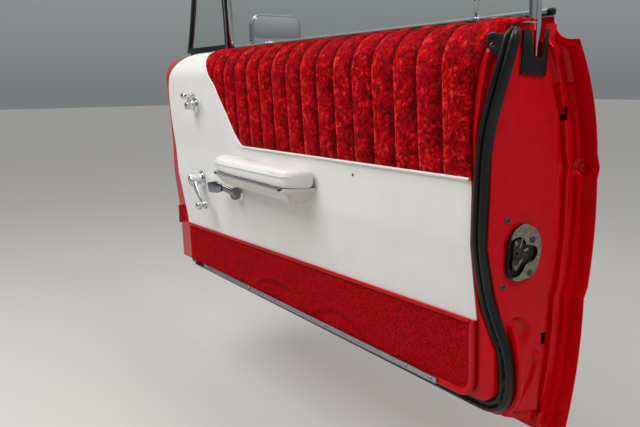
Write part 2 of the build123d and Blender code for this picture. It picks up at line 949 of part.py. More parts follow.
with BuildPart() as division_post:
    with BuildSketch(across(-far)):
        glass_band(post_depth)
    extrude(amount=2 * far)
    with BuildSketch(side(-far / 4)):
        with BuildLine():
            Polyline(
                (-post_start, glass_foot),
                (-post_top, glass_head),
                (-post_top - post_width, glass_head),
                (-post_start - post_width, glass_foot),
                close=True,
            )
        make_face()
    extrude(amount=-far, mode=Mode.INTERSECT)

vent_rear_low = -post_foot - post_width - seat_gap
vent_rear_high = -post_top - post_width - seat_gap


def vent_outline():
    """Side outline of the vent window's frame."""
    with BuildLine() as outline:
        Polyline(
            (-vent_front, vent_sill),
            (vent_rear_low, vent_sill),
            (vent_rear_high, glass_head),
            (-vent_front + vent_rake, glass_head),
            close=True,
        )
    make_face(outline.edges())


with BuildPart() as vent_frame:
    with BuildSketch(across(-far)):
        glass_band(vent_depth)
    extrude(amount=2 * far)
    with BuildSketch(side(-far / 4)):
        vent_outline()
    extrude(amount=-far, mode=Mode.INTERSECT)
    with BuildSketch(side(-far / 4)):
        vent_outline()
        offset(amount=-vent_bar, kind=Kind.INTERSECTION, mode=Mode.REPLACE)
    extrude(amount=-far, mode=Mode.SUBTRACT)

with BuildPart() as vent_glass:
    with BuildSketch(across(-far)):
        glass_band(vent_glass_thickness)
    extrude(amount=2 * far)
    with BuildSketch(side(-far / 4)):
        vent_outline()
        offset(amount=-vent_bar - seat_gap, kind=Kind.INTERSECTION, mode=Mode.REPLACE)
    extrude(amount=-far, mode=Mode.INTERSECT)


# Belt mouldings
with BuildPart() as outer_belt_moulding:
    with BuildSketch(bow_start()):
        with Locations((belt_depth - skin_thickness, belt_height + seat_gap + moulding_height / 2)):
            RectangleRounded(moulding_width, moulding_height, moulding_width / 2.2)
    revolve(axis=bow_axis, revolution_arc=2 * bow_half)
    with BuildSketch(level(belt_height - moulding_height)):
        with Locations((-far / 2 + skin_rear_lap - shelf_length - shelf_drop, 0)):
            Rectangle(far, far)
    extrude(amount=4 * moulding_height, mode=Mode.INTERSECT)
    with BuildSketch(level(belt_height - moulding_height)):
        with Locations((-panel_length - skin_front_lap + far / 2, 0)):
            Rectangle(far, far)
    extrude(amount=4 * moulding_height, mode=Mode.INTERSECT)

with BuildPart() as inner_belt_wiper:
    with BuildSketch(across(-panel_length + shell_wall + seat_gap)):
        with Locations((belt_slot_inner + seat_gap + wiper_thickness / 2, shell_top)):
            Rectangle(wiper_thickness, wiper_height)
    extrude(amount=panel_length - shell_wall - seat_gap)


# Latch on the shut face
def shut_reach(depth):
    """How far the shut face lies behind the trim's rear edge at a depth."""
    return shoulder_reach + shut_face_lean * (depth - shut_start) / shut_face_width


def shut_plane(depth, height, lift):
    """Plane on the shut face: local x outwards, local y up, normal to the rear."""
    along = hypot(shut_face_lean, shut_face_width)
    turn_x, turn_y = shut_face_lean / along, shut_face_width / along
    origin = (rear_x + shut_reach(depth) + lift * turn_y, cabin_y + depth - lift * turn_x, sill_z + height)
    return Plane(origin=origin, x_dir=(turn_x, turn_y, 0), z_dir=(turn_y, -turn_x, 0))


with BuildPart() as latch_plate:
    with BuildSketch(shut_plane(latch_depth, latch_height, seat_gap)):
        with BuildLine():
            Polyline(*latch_corners, close=True)
        make_face()
        fillet(vertices(), latch_corner)
    extrude(amount=latch_thickness)
    fillet(latch_plate.faces().sort_by(Axis.X)[-1].edges(), latch_edge)
    with BuildSketch(shut_plane(latch_depth, latch_height, seat_gap + latch_thickness - latch_recess)):
        Circle(rotor_radius + latch_play)
        with Locations((-jaw_reach / 2, 0)):
            Rectangle(jaw_reach, jaw_width)
    extrude(amount=2 * latch_recess, mode=Mode.SUBTRACT)

with BuildPart() as latch_rotor:
    with BuildSketch(shut_plane(latch_depth, latch_height, 2 * seat_gap + latch_thickness - latch_recess)):
        Circle(rotor_radius)
        with Locations((-rotor_radius / 2, 0)):
            Rectangle(rotor_radius, rotor_slot, mode=Mode.SUBTRACT)
    extrude(amount=rotor_thickness)

with BuildPart() as glass_filler:
    with BuildSketch(shut_plane(0, 0, seat_gap)):
        with BuildLine():
            Polyline(*[(depth, belt_height - drop) for depth, drop in filler_corners], close=True)
        make_face()
    extrude(amount=filler_thickness)


# Armrest
def arm_outline(inset, reach):
    """Plan of the armrest, drawn in from its ends by inset, reaching into the cabin."""
    share = reach / arm_reach
    with BuildSketch(Plane.XY, mode=Mode.PRIVATE) as shape:
        with BuildLine():
            Polyline(
                (-arm_front + inset, -seat_gap),
                (-arm_rear - inset, -seat_gap),
                (-arm_rear - inset - arm_taper_rear * share, -reach),
                (-arm_front + inset + arm_taper_front * share, -reach),
                close=True,
            )
        make_face()
        fillet(shape.vertices().group_by(Axis.Y)[0], arm_corner)
    add(shape.sketch)


with BuildPart() as armrest_pad:
    with BuildSketch(level(arm_top - arm_pad)):
        arm_outline(0, arm_reach)
    extrude(amount=arm_pad)
    top_edges = armrest_pad.faces().sort_by(Axis.Z)[-1].edges()
    fillet(top_edges.filter_by(lambda edge: edge.center().Y < cabin_y - 1), arm_round)

with BuildPart() as armrest_strip:
    with BuildSketch(level(arm_top - arm_pad - seat_gap - arm_strip)):
        arm_outline(3.0, arm_reach - 3.0)
    extrude(amount=arm_strip)

with BuildPart() as armrest_base:
    base_top = arm_top - arm_pad - arm_strip - 2 * seat_gap
    with BuildSketch(level(base_top)):
        arm_outline(6.0, arm_reach - 6.0)
    with BuildSketch(level(base_top - arm_base)):
        arm_outline(20.0, arm_reach - 24.0)
    loft()
    with BuildSketch(level(base_top - arm_base)):
        with Locations((-(arm_front + arm_rear) / 2, -pull_width / 2 - pull_wall)):
            RectangleRounded(pull_length, pull_width, pull_width / 3)
    extrude(amount=pull_height, mode=Mode.SUBTRACT)
    with BuildSketch(level(base_top)):
        with Locations((-arm_rear - arm_heel_length / 2 - arm_corner, -arm_reach / 2 + arm_round)):
            RectangleRounded(arm_heel_length, arm_reach - 2 * arm_round, arm_round)
    extrude(amount=-arm_heel_drop, taper=arm_heel_taper)


# Handles and cranks stand on planes whose normal points into the cabin
def trim_plane(along, height, lift):
    """Plane on the trim's face: local x to the latch, local y up the face."""
    if height <= flat_end:
        return side(-lift, along, height)
    lean = atan2(roll_lean, roll_height - flat_end)
    depth = -roll_lean * (height - flat_end) / (roll_height - flat_end)
    normal = (0, -cos(lean), -sin(lean))
    origin = (rear_x + along, cabin_y + depth + normal[1] * lift, sill_z + height + normal[2] * lift)
    return Plane(origin=origin, x_dir=(1, 0, 0), z_dir=normal)


cranks = {
    # name: (along, height, arm along, arm up)
    "window_crank": (-window_crank_at[0], window_crank_at[1], window_crank_arm),
    "vent_crank": (-vent_crank_at[0], vent_crank_at[1], vent_crank_arm),
}
crank_parts = {}
for name, (along, height, arm) in cranks.items():
    with BuildPart() as escutcheon:
        with BuildSketch(trim_plane(along, height, seat_gap)):
            Circle(escutcheon_radius)
        extrude(amount=escutcheon_height, taper=25)
    with BuildPart() as crank:
        with BuildSketch(trim_plane(along, height, 2 * seat_gap + escutcheon_height)):
            Circle(hub_radius)
        extrude(amount=crank_lift - escutcheon_height)
        with BuildSketch(trim_plane(along, height, crank_lift - arm_thickness)):
            Circle(hub_radius)
            with Locations(arm):
                Circle(knob_radius * 0.7)
            make_hull()
        extrude(amount=arm_thickness)
        with BuildSketch(trim_plane(along, height, crank_lift - arm_thickness / 2)):
            with Locations(arm):
                Circle(knob_radius)
        extrude(amount=knob_height)
    crank_parts[name + "_escutcheon"] = escutcheon.part
    crank_parts[name] = crank.part

with BuildPart() as handle_escutcheon:
    with BuildSketch(trim_plane(-handle_at[0], handle_at[1], seat_gap)):
        Circle(escutcheon_radius)
    extrude(amount=escutcheon_height, taper=25)

with BuildPart() as inside_handle:
    with BuildSketch(trim_plane(-handle_at[0], handle_at[1], 2 * seat_gap + escutcheon_height)):
        Circle(hub_radius)
    extrude(amount=crank_lift - escutcheon_height)
    with BuildSketch(trim_plane(-handle_at[0], handle_at[1], crank_lift - arm_thickness)):
        Circle(hub_radius)
        with Locations((-handle_reach / 2, handle_rise)):
            Circle(hub_radius * 0.6)
        make_hull()
    extrude(amount=arm_thickness)
    with BuildSketch(trim_plane(-handle_at[0], handle_at[1], crank_lift - arm_thickness)):
        with Locations((-handle_reach / 2, handle_rise)):
            Circle(hub_radius * 0.6)
        with Locations((-handle_reach, handle_rise)):
            Circle(hub_radius * 0.85)
        make_hull()
    extrude(amount=arm_thickness)

with BuildPart() as lock_knob:
    knob_seat = roll_top + velvet_proud + seat_gap
    knob_depth = (roll_depth + belt_slot_inner) / 2
    with BuildSketch(level(knob_seat)):
        with Locations((-lock_knob_at, knob_depth)):
            Circle(lock_ferrule_radius)
    extrude(amount=lock_ferrule_height)
    with BuildSketch(level(knob_seat)):
        with Locations((-lock_knob_at, knob_depth)):
            Circle(lock_knob_radius)
    extrude(amount=lock_knob_height, taper=-2)

# Outside fittings, cut to the skin they sit on
with BuildPart() as outside_handle:
    grip_near = -outside_handle_rear - outside_handle_length
    outside_handle_height = shoulder_height + outside_handle_rise
    with BuildSketch(side(belt_depth)):
        with Locations((-outside_handle_rear, outside_handle_height), (grip_near, outside_handle_height)):
            Circle(outside_foot_radius)
    grip_depth = shoulder_depth + bow_out(-outside_handle_rear) + outside_handle_stand - arm_thickness
    extrude(amount=belt_depth - grip_depth)
    with BuildSketch(side(grip_depth - moulding_height)):
        with Locations(((grip_near - outside_handle_rear) / 2, outside_handle_height)):
            RectangleRounded(
                outside_handle_length + 2 * outside_foot_radius,
                2 * outside_foot_radius,
                outside_foot_radius * 0.9,
            )
    extrude(amount=-moulding_height)
    add(behind_skin.part, mode=Mode.SUBTRACT)

with BuildPart() as lock_cylinder:
    with BuildSketch(side(belt_depth)):
        with Locations((-outside_handle_rear, shoulder_height + cylinder_rise)):
            Circle(cylinder_radius)
    extrude(amount=belt_depth - shoulder_depth - cylinder_stand - bow_out(-outside_handle_rear))
    add(behind_skin.part, mode=Mode.SUBTRACT)

mirror_x, mirror_y, mirror_z = -mirror_at[0], mirror_at[1], mirror_at[2]
with BuildPart() as mirror_head:
    with BuildSketch(across(mirror_x - mirror_thickness)):
        with Locations((mirror_y, mirror_z)):
            RectangleRounded(mirror_width, mirror_tall, mirror_corner)
    extrude(amount=mirror_thickness)
    fillet(mirror_head.faces().sort_by(Axis.X)[0].edges(), mirror_round)
    with BuildSketch(across(mirror_x - mirror_glass_thickness - seat_gap)):
        with Locations((mirror_y, mirror_z)):
            RectangleRounded(
                mirror_width - 2 * mirror_glass_inset,
                mirror_tall - 2 * mirror_glass_inset,
                mirror_corner - mirror_glass_inset,
            )
    extrude(amount=mirror_thickness, mode=Mode.SUBTRACT)

with BuildPart() as mirror_glass:
    with BuildSketch(across(mirror_x - mirror_glass_thickness)):
        with Locations((mirror_y, mirror_z)):
            RectangleRounded(
                mirror_width - 2 * mirror_glass_inset - 2 * seat_gap,
                mirror_tall - 2 * mirror_glass_inset - 2 * seat_gap,
                mirror_corner - mirror_glass_inset - seat_gap,
            )
    extrude(amount=mirror_glass_thickness)

with BuildPart() as mirror_foot:
    with BuildSketch(side(belt_depth - mirror_foot_tall)):
        with Locations((mirror_x - mirror_thickness / 2, mirror_foot_height)):
            Ellipse(mirror_foot_long / 2, mirror_foot_tall / 2)
    extrude(amount=-mirror_foot_tall - mirror_foot_stand - bow_out(mirror_x))
    stalk = Line(
        (rear_x + mirror_x - mirror_thickness / 2, cabin_y + belt_depth, sill_z + mirror_foot_height),
        (rear_x + mirror_x - mirror_thickness / 2, cabin_y + mirror_y, sill_z + mirror_z),
        mode=Mode.PRIVATE,
    )
    with BuildSketch(Plane(origin=stalk @ 0, z_dir=stalk % 0)):
        Circle(mirror_stalk_radius)
    extrude(amount=stalk.length)
    add(behind_skin.part, mode=Mode.SUBTRACT)
    with BuildSketch(across(mirror_x - mirror_thickness)):
        with Locations((mirror_y, mirror_z)):
            RectangleRounded(mirror_width, mirror_tall, mirror_corner)
    extrude(amount=mirror_thickness, mode=Mode.SUBTRACT)

pieces = {
    **hinge_parts,
    "outer_skin": outer_skin.part,
    "inner_shell": inner_shell.part,
    "latch_plate": latch_plate.part,
    "latch_rotor": latch_rotor.part,
    "weatherstrip": weatherstrip.part,
    "glass_filler": glass_filler.part,
    "door_glass": door_glass.part,
    "glass_channel": glass_channel.part,
    "division_post": division_post.part,
    "vent_frame": vent_frame.part,
    "vent_glass": vent_glass.part,
    "outer_belt_moulding": outer_belt_moulding.part,
    "inner_belt_wiper": inner_belt_wiper.part,
    "trim_panel": trim_panel.part,
    "velvet_pad": velvet,
    "trim_piping": piping.part,
    "carpet_panel": carpet_panel.part,
    "carpet_binding": carpet_binding.part,
    "sill_moulding": sill_moulding.part,
    "armrest_pad": armrest_pad.part,
    "armrest_strip": armrest_strip.part,
    "armrest_base": armrest_base.part,
    **crank_parts,
    "inside_handle_escutcheon": handle_escutcheon.part,
    "inside_handle": inside_handle.part,
    "lock_knob": lock_knob.part,
    "outside_handle": outside_handle.part,
    "lock_cylinder": lock_cylinder.part,
    "mirror_foot": mirror_foot.part,
    "mirror_head": mirror_head.part,
    "mirror_glass": mirror_glass.part,
}
for name, piece in pieces.items():
    piece.label = name
    export_step(piece, f"parts/{name}.step")
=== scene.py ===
"""Looks of a hardtop coupe's front door, standing open on its pillar hinges.

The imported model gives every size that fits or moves. Places here are in millimetres from the trim's
lower rear corner: along to the latch, depth outwards from the flat of the trim, height upwards.
"""

import json
import logging
import math
from dataclasses import dataclass
from enum import Enum
from typing import Callable, ClassVar, Optional, Sequence

import bpy
import numpy as np
from mathutils import Matrix, Vector, noise


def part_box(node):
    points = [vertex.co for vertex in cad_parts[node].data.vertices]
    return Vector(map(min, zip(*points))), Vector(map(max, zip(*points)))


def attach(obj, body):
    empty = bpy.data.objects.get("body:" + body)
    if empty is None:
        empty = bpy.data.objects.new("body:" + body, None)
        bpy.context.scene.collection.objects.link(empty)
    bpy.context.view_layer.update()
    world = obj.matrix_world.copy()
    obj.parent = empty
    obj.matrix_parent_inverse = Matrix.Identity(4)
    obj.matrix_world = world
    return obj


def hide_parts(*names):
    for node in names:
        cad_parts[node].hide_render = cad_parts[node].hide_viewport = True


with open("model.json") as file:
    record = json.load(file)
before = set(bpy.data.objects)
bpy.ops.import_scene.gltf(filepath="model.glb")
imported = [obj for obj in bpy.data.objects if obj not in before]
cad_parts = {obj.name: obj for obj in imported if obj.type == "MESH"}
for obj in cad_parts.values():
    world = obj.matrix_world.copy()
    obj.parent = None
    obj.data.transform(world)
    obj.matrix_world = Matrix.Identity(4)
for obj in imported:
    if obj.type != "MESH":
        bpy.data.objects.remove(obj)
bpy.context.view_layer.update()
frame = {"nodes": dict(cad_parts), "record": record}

LOG = logging.getLogger("door")
MM = 0.001
DOOR = "door"
PATH_STEP = 0.006
CLOTH_FRAMES = 20
CLOTH_PRESSURE = 4.0
CABINWARD = Vector((0, -1, 0))
REARWARD = Vector((1, 0, 0))
UP = Vector((0, 0, 1))

Piece = bpy.types.Object
Socket = bpy.types.NodeSocket
Tree = bpy.types.NodeTree
Shades = tuple[Socket, Socket]
Pair = tuple[float, float]
Point = tuple[float, float, float]


@dataclass(frozen=True)
class Datum:
    """The trim's lower rear corner in the frame, from which every place is measured."""

    rear: float
    cabin: float
    sill: float

    @classmethod
    def from_frame(cls) -> "Datum":
        """Reads the corner from the pieces that seat on it.

        Returns:
            The corner, in metres.
        """
        seat_gap = 0.3 * MM
        trim_bottom = 12.0 * MM
        return cls(
            rear=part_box("inner_belt_wiper")[1].x,
            cabin=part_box("window_crank_escutcheon")[1].y + seat_gap,
            sill=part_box("carpet_panel")[0].z + trim_bottom,
        )

    def at(self, along: float, depth: float, height: float) -> Vector:
        """Turns a place in millimetres, to the latch end, outwards and up, into a point in metres."""
        return Vector((self.rear + along * MM, self.cabin + depth * MM, self.sill + height * MM))


DATUM = Datum.from_frame()


def linear(hex_colour: str) -> tuple[float, float, float, float]:
    """Turns an sRGB hex colour such as "#a01020" into linear red, green, blue and alpha."""
    values = [int(hex_colour[i : i + 2], 16) / 255 for i in (1, 3, 5)]
    return (*[v / 12.92 if v <= 0.04045 else ((v + 0.055) / 1.055) ** 2.4 for v in values], 1.0)


def add_node(
    tree: Tree,
    kind: str,
    links: Optional[dict] = None,
    values: Optional[dict] = None,
    **settings,
) -> bpy.types.Node:
    """Adds a shader node with its settings, values and incoming links.

    Args:
        tree: The material's node tree.
        kind: Node type.
        links: Input socket to the socket that feeds it.
        values: Input socket to its plain value.
        **settings: Properties of the node itself.

    Returns:
        The new node.
    """
    node = tree.nodes.new(kind)
    for name, value in settings.items():
        setattr(node, name, value)
    for name, value in (values or {}).items():
        node.inputs[name].default_value = value
    for name, source in (links or {}).items():
        tree.links.new(source, node.inputs[name])
    return node


class Pattern(Enum):
    """What breaks up a finish seen close."""

    SPRAYED = "sprayed"
    GRAINED = "grained"
    CRUSHED = "crushed"
    LOOPED = "looped"
    CAST = "cast"
    BRUSHED = "brushed"
    POLISHED = "polished"
    DUSTY = "dusty"


@dataclass(frozen=True)
class Finish:
    """One real material: its colours, its gloss and the pattern that its making left.

    Colours are sRGB hex. The grain is the pattern's spacing and the relief its height, in
    millimetres.
    """

    name: str
    slot: str
    base: str
    dark: str
    light: str
    roughness: float
    pattern: Pattern
    grain: float
    relief: float = 0.0
    metallic: float = 0.0
    ior: float = 1.5
    coat: float = 0.0
    sheen: float = 0.0
    sheen_tint: str = "#ffffff"
    gloss_spread: float = 0.05
    transmission: float = 0.0

    def material(self) -> bpy.types.Material:
        """Makes the finish's material on its first use.

        Returns:
            The material.
        """
        known = bpy.data.materials.get(self.name)
        if known:
            return known
        material = bpy.data.materials.new(self.name)
        material.use_nodes = True
        tree = material.node_tree
        shader = tree.nodes["Principled BSDF"]
        fixed = {
            "Metallic": self.metallic,
            "IOR": self.ior,
            "Coat Weight": self.coat,
            "Coat Roughness": 0.03,
            "Sheen Weight": self.sheen,
            "Sheen Roughness": 0.35,
            "Sheen Tint": linear(self.sheen_tint),
            "Transmission Weight": self.transmission,
        }
        for name, value in fixed.items():
            shader.inputs[name].default_value = value
        shade, height = self.shades(tree)
        colours = add_node(tree, "ShaderNodeValToRGB", {"Fac": shade})
        ramp = colours.color_ramp
        ramp.elements[0].color = linear(self.dark)
        ramp.elements[1].color = linear(self.light)
        middle = ramp.elements.new(0.5)
        middle.color = linear(self.base)
        tree.links.new(colours.outputs["Color"], shader.inputs["Base Color"])
        shader.inputs["Roughness"].default_value = self.roughness
        if self.gloss_spread:
            least = max(self.roughness - self.gloss_spread, 0.0)
            most = self.roughness + self.gloss_spread
            rough = add_node(
                tree, "ShaderNodeMapRange", {"Value": shade}, {"To Min": least, "To Max": most}
            )
            tree.links.new(rough.outputs["Result"], shader.inputs["Roughness"])
        if self.relief:
            bump = add_node(
                tree,
                "ShaderNodeBump",
                {"Height": height},
                {"Strength": 1.0, "Distance": self.relief * MM},
            )
            tree.links.new(bump.outputs["Normal"], shader.inputs["Normal"])
        return material

    def shades(self, tree: Tree) -> Shades:
        """Makes the pattern.

        Args:
            tree: The material's node tree.

        Returns:
            A shade from 0, dark, to 1, light, and a height from 0 to 1.
        """
        place = add_node(tree, "ShaderNodeTexCoord").outputs["Object"]
        scale = 1 / (self.grain * MM)
        special = {
            Pattern.CRUSHED: self.crushed,
            Pattern.LOOPED: self.looped,
            Pattern.DUSTY: self.dusty,
        }
        if self.pattern in special:
            return special[self.pattern](tree, place, scale)
        if self.pattern is Pattern.GRAINED:
            cells = add_node(
                tree, "ShaderNodeTexVoronoi", {"Vector": place}, {"Scale": scale},
                feature="SMOOTH_F1",
            )
            clouds = add_node(
                tree, "ShaderNodeTexNoise", {"Vector": place}, {"Scale": scale / 60, "Detail": 3.0}
            )
            return clouds.outputs["Fac"], cells.outputs["Distance"]
        if self.pattern is Pattern.BRUSHED:
            stretch = add_node(
                tree, "ShaderNodeMapping", {"Vector": place}, {"Scale": (0.02, 1.0, 1.0)}
            )
            place = stretch.outputs["Vector"]
        fine = add_node(
            tree, "ShaderNodeTexNoise", {"Vector": place}, {"Scale": scale, "Detail": 4.0}
        )
        return fine.outputs["Fac"], fine.outputs["Fac"]

    def crushed(self, tree: Tree, place: Socket, scale: float) -> Shades:
        """Crushed pile: shards that lean different ways, sharp creases, painted seam highlight and
        shade.

        Args:
            tree: The material's node tree.
            place: Object coordinates.
            scale: Patterns per metre.

        Returns:
            The shade and the height.
        """
        drift = add_node(
            tree, "ShaderNodeTexNoise", {"Vector": place}, {"Scale": scale * 0.7, "Detail": 1.0}
        )
        shift = add_node(
            tree, "ShaderNodeVectorMath", {0: drift.outputs["Color"]},
            {1: (0.7 * self.grain * MM,) * 3}, operation="MULTIPLY",
        )
        warped = add_node(
            tree, "ShaderNodeVectorMath", {0: place, 1: shift.outputs["Vector"]}, operation="ADD"
        ).outputs["Vector"]
        patches = add_node(
            tree, "ShaderNodeTexNoise", {"Vector": warped},
            {"Scale": scale * 0.75, "Detail": 5.0, "Roughness": 0.65, "Distortion": 0.8},
        )
        large = add_node(tree, "ShaderNodeTexVoronoi", {"Vector": warped}, {"Scale": scale * 0.9})
        small = add_node(tree, "ShaderNodeTexVoronoi", {"Vector": warped}, {"Scale": scale * 3.0})
        creases = add_node(
            tree, "ShaderNodeTexVoronoi", {"Vector": warped}, {"Scale": scale * 1.5},
            feature="DISTANCE_TO_EDGE",
        )
        upright = add_node(
            tree, "ShaderNodeMapping", {"Vector": place}, {"Scale": (1.0, 1.0, 0.12)}
        )
        streaks = add_node(
            tree, "ShaderNodeTexNoise", {"Vector": upright.outputs["Vector"]},
            {"Scale": scale * 5, "Detail": 2.0},
        )
        parts = (
            # (source, from low, from high, to low, to high)
            (patches.outputs["Fac"], 0.42, 0.64, 0.08, 0.46),
            (large.outputs["Color"], 0.1, 0.9, -0.06, 0.22),
            (small.outputs["Color"], 0.1, 0.9, -0.1, 0.26),
            (creases.outputs["Distance"], 0.0, 0.06, -0.24, 0.02),
            (streaks.outputs["Fac"], 0.3, 0.7, -0.05, 0.07),
        )
        total = None
        for source, low, high, least, most in parts:
            share = add_node(
                tree, "ShaderNodeMapRange", {"Value": source},
                {"From Min": low, "From Max": high, "To Min": least, "To Max": most},
            ).outputs["Result"]
            if total is not None:
                share = add_node(
                    tree, "ShaderNodeMath", {0: total, 1: share}, operation="ADD"
                ).outputs[0]
            total = share
        across = add_node(tree, "ShaderNodeSeparateXYZ", {"Vector": place}).outputs["X"]
        pad = VelvetPad()
        first = DATUM.rear + pad.first_seam * MM
        # channels counted from the first seam; none is begun past the last
        share = across
        steps = (
            ("ADD", -first),
            ("DIVIDE", pad.channel * MM),
            ("MINIMUM", pad.seams - 0.3),
            ("FRACT", 0.0),
        )
        for operation, value in steps:
            share = add_node(
                tree, "ShaderNodeMath", {0: share}, {1: value}, operation=operation
            ).outputs[0]
        # painted light across each channel: a dark painted line in the seam, a painted highlight just
        # past it, then painted shade as the channel curves away to the next seam
        painted_seam_ramp = add_node(tree, "ShaderNodeValToRGB", {"Fac": share})
        stops = ((0.0, 0.0), (0.035, 0.05), (0.05, 1.0), (0.09, 0.7), (0.2, 0.54), (0.7, 0.46),
                 (0.87, 0.3), (0.96, 0.0))
        ramp = painted_seam_ramp.color_ramp
        while len(ramp.elements) < len(stops):
            ramp.elements.new(0.5)
        for element, (spot, level) in zip(ramp.elements, stops):
            element.position = spot
            element.color = (level, level, level, 1.0)
        # the painted seam highlight and shade, added to the pile's own pattern
        lean = add_node(
            tree, "ShaderNodeMapRange", {"Value": painted_seam_ramp.outputs["Color"]},
            {"To Min": -0.42, "To Max": 0.38},
        ).outputs["Result"]
        total = add_node(tree, "ShaderNodeMath", {0: total, 1: lean}, operation="ADD").outputs[0]
        return total, total

    def looped(self, tree: Tree, place: Socket, scale: float) -> Shades:
        """Looped pile: round loop ends with dark gaps between them.

        Args:
            tree: The material's node tree.
            place: Object coordinates.
            scale: Patterns per metre.

        Returns:
            The shade and the height.
        """
        loops = add_node(tree, "ShaderNodeTexVoronoi", {"Vector": place}, {"Scale": scale})
        tone = add_node(
            tree, "ShaderNodeTexNoise", {"Vector": place}, {"Scale": scale / 3, "Detail": 4.0}
        )
        top = add_node(
            tree,
            "ShaderNodeMapRange",
            {"Value": loops.outputs["Distance"]},
            {"From Min": 0.1, "From Max": 0.75, "To Min": 0.75, "To Max": 0.0},
        )
        mixed = add_node(
            tree,
            "ShaderNodeMath",
            {0: tone.outputs["Fac"], 1: top.outputs["Result"]},
            operation="MULTIPLY_ADD",
        )
        mixed.inputs[2].default_value = 0.12
        return mixed.outputs[0], top.outputs["Result"]

    def dusty(self, tree: Tree, place: Socket, scale: float) -> Shades:
        """Rubber with dust left in its groove, where the piece's own dust attribute is high.

        Args:
            tree: The material's node tree.
            place: Object coordinates.
            scale: Patterns per metre.

        Returns:
            The shade and the height.
        """
        fine = add_node(
            tree, "ShaderNodeTexNoise", {"Vector": place}, {"Scale": scale, "Detail": 5.0}
        )
        dust = add_node(tree, "ShaderNodeAttribute", attribute_name="dust")
        shade = add_node(
            tree,
            "ShaderNodeMath",
            {0: fine.outputs["Fac"], 1: dust.outputs["Fac"]},
            operation="MULTIPLY_ADD",
        )
        tree.links.new(fine.outputs["Fac"], shade.inputs[2])
        low = add_node(
            tree,
            "ShaderNodeMapRange",
            {"Value": shade.outputs[0]},
            {"From Min": 0.3, "From Max": 1.3, "To Min": 0.1, "To Max": 1.0},
        )
        return low.outputs["Result"], fine.outputs["Fac"]


# Solid colour enamel, polished: deep red with hard reflections. A low index keeps pale surroundings
# from veiling it.
ENAMEL = Finish(
    "red enamel", "body_paint",
    "#c0000e", "#b0000b", "#cc0313",
    0.12, Pattern.SPRAYED, 16.0,
    relief=0.05, ior=1.24,
)
# Expanded vinyl on a backing cloth: soft gloss, fine grain drawn twice as coarse as it is
WHITE_VINYL = Finish(
    "white vinyl", "white_vinyl",
    "#e6e4e1", "#dedcd9", "#edebe9",
    0.4, Pattern.GRAINED, 1.6,
    relief=0.08, gloss_spread=0.06,
)
# Polyester pile, crushed wet: bright where the pile lies over, nearly black in its creases, with a
# painted highlight and painted shade at each seam
VELVET = Finish(
    "crushed velvet", "red_velvet",
    "#b4000f", "#560005", "#ff443a",
    0.75, Pattern.CRUSHED, 14.0,
    relief=1.3, ior=1.12, sheen=0.08, sheen_tint="#ff2010", gloss_spread=0.1,
)
# Looped nylon carpet: matt, with round loop ends and dark gaps, drawn coarse enough to show
CARPET = Finish(
    "looped carpet", "red_carpet",
    "#c4040f", "#6c0008", "#ff444c",
    0.85, Pattern.LOOPED, 3.6,
    relief=1.3, ior=1.15, sheen=0.08, sheen_tint="#ff2030",
)
# Calendered vinyl strip: nearly smooth, with a soft gloss line
RED_VINYL = Finish(
    "red vinyl", "red_vinyl",
    "#b80010", "#a0000c", "#cc0616",
    0.3, Pattern.GRAINED, 1.4,
    relief=0.05, ior=1.25,
)
# Nickel and chromium plate over a polished casting: a mirror, a little uneven
CHROME = Finish(
    "chromium plate", "bright_chrome",
    "#d6d9dc", "#c4c8cc", "#e6e8ea",
    0.06, Pattern.POLISHED, 14.0,
    relief=0.02, metallic=1.0, gloss_spread=0.03,
)
# The same plate painted darker, as painted shade and dark painted reflections under the armrest, and
# softer
SHADED_CHROME = Finish(
    "shaded chromium plate", "bright_chrome",
    "#85898d", "#6c7074", "#a6aaae",
    0.14, Pattern.POLISHED, 14.0,
    relief=0.02, metallic=1.0, gloss_spread=0.05,
)
# Rolled aluminium strip, walked on: soft lengthwise scratches
ALUMINIUM = Finish(
    "rolled aluminium", "ribbed_aluminium",
    "#b4b6ba", "#8c8f94", "#d4d6d8",
    0.28, Pattern.BRUSHED, 0.9,
    relief=0.06, metallic=1.0, gloss_spread=0.12,
)
# Die-cast zinc, greyed by grease: dull, mottled, faintly warm
ZINC = Finish(
    "die-cast zinc", "latch_zinc",
    "#8a857c", "#5e5a53", "#b2aca2",
    0.42, Pattern.CAST, 5.0,
    relief=0.25, metallic=0.85, gloss_spread=0.12,
)
# Nearly black steel for the latch plate's cabin-side rim and its sides near the seat, and for the
# tray in its mouth
DARK_LATCH_STEEL = Finish(
    "dark latch steel", "latch_zinc",
    "#23211f", "#0c0b0a", "#5d5852",
    0.35, Pattern.CAST, 6.0,
    relief=0.3, metallic=0.6, gloss_spread=0.15,
)
# The latch's fork, worn bright where the striker rubs
WORN = Finish(
    "worn steel", "latch_zinc",
    "#3c3936", "#141210", "#8c857c",
    0.32, Pattern.CAST, 9.0,
    relief=0.2, metallic=0.8, gloss_spread=0.15,
)
# Extruded sponge rubber with a skin: black with a soft gloss, brown where dust lies in it
RUBBER = Finish(
    "sponge rubber", "seal_rubber",
    "#101011", "#060607", "#6a543c",
    0.4, Pattern.DUSTY, 7.0,
    relief=0.12, ior=1.4, gloss_spread=0.12,
)
# Painted pressed steel of the hinges, duller than the body
HINGE_PAINT = Finish(
    "hinge enamel", "hinge_steel",
    "#8c000c", "#6e0009", "#a00412",
    0.35, Pattern.CAST, 12.0,
    relief=0.15, coat=0.4, gloss_spread=0.1,
)
# Turned steel: grey, with a soft bright line
STEEL = Finish(
    "turned steel", "pin_steel",
    "#8e9092", "#6c6e70", "#b2b4b6",
    0.3, Pattern.CAST, 4.0,
    relief=0.04, metallic=1.0, gloss_spread=0.1,
)
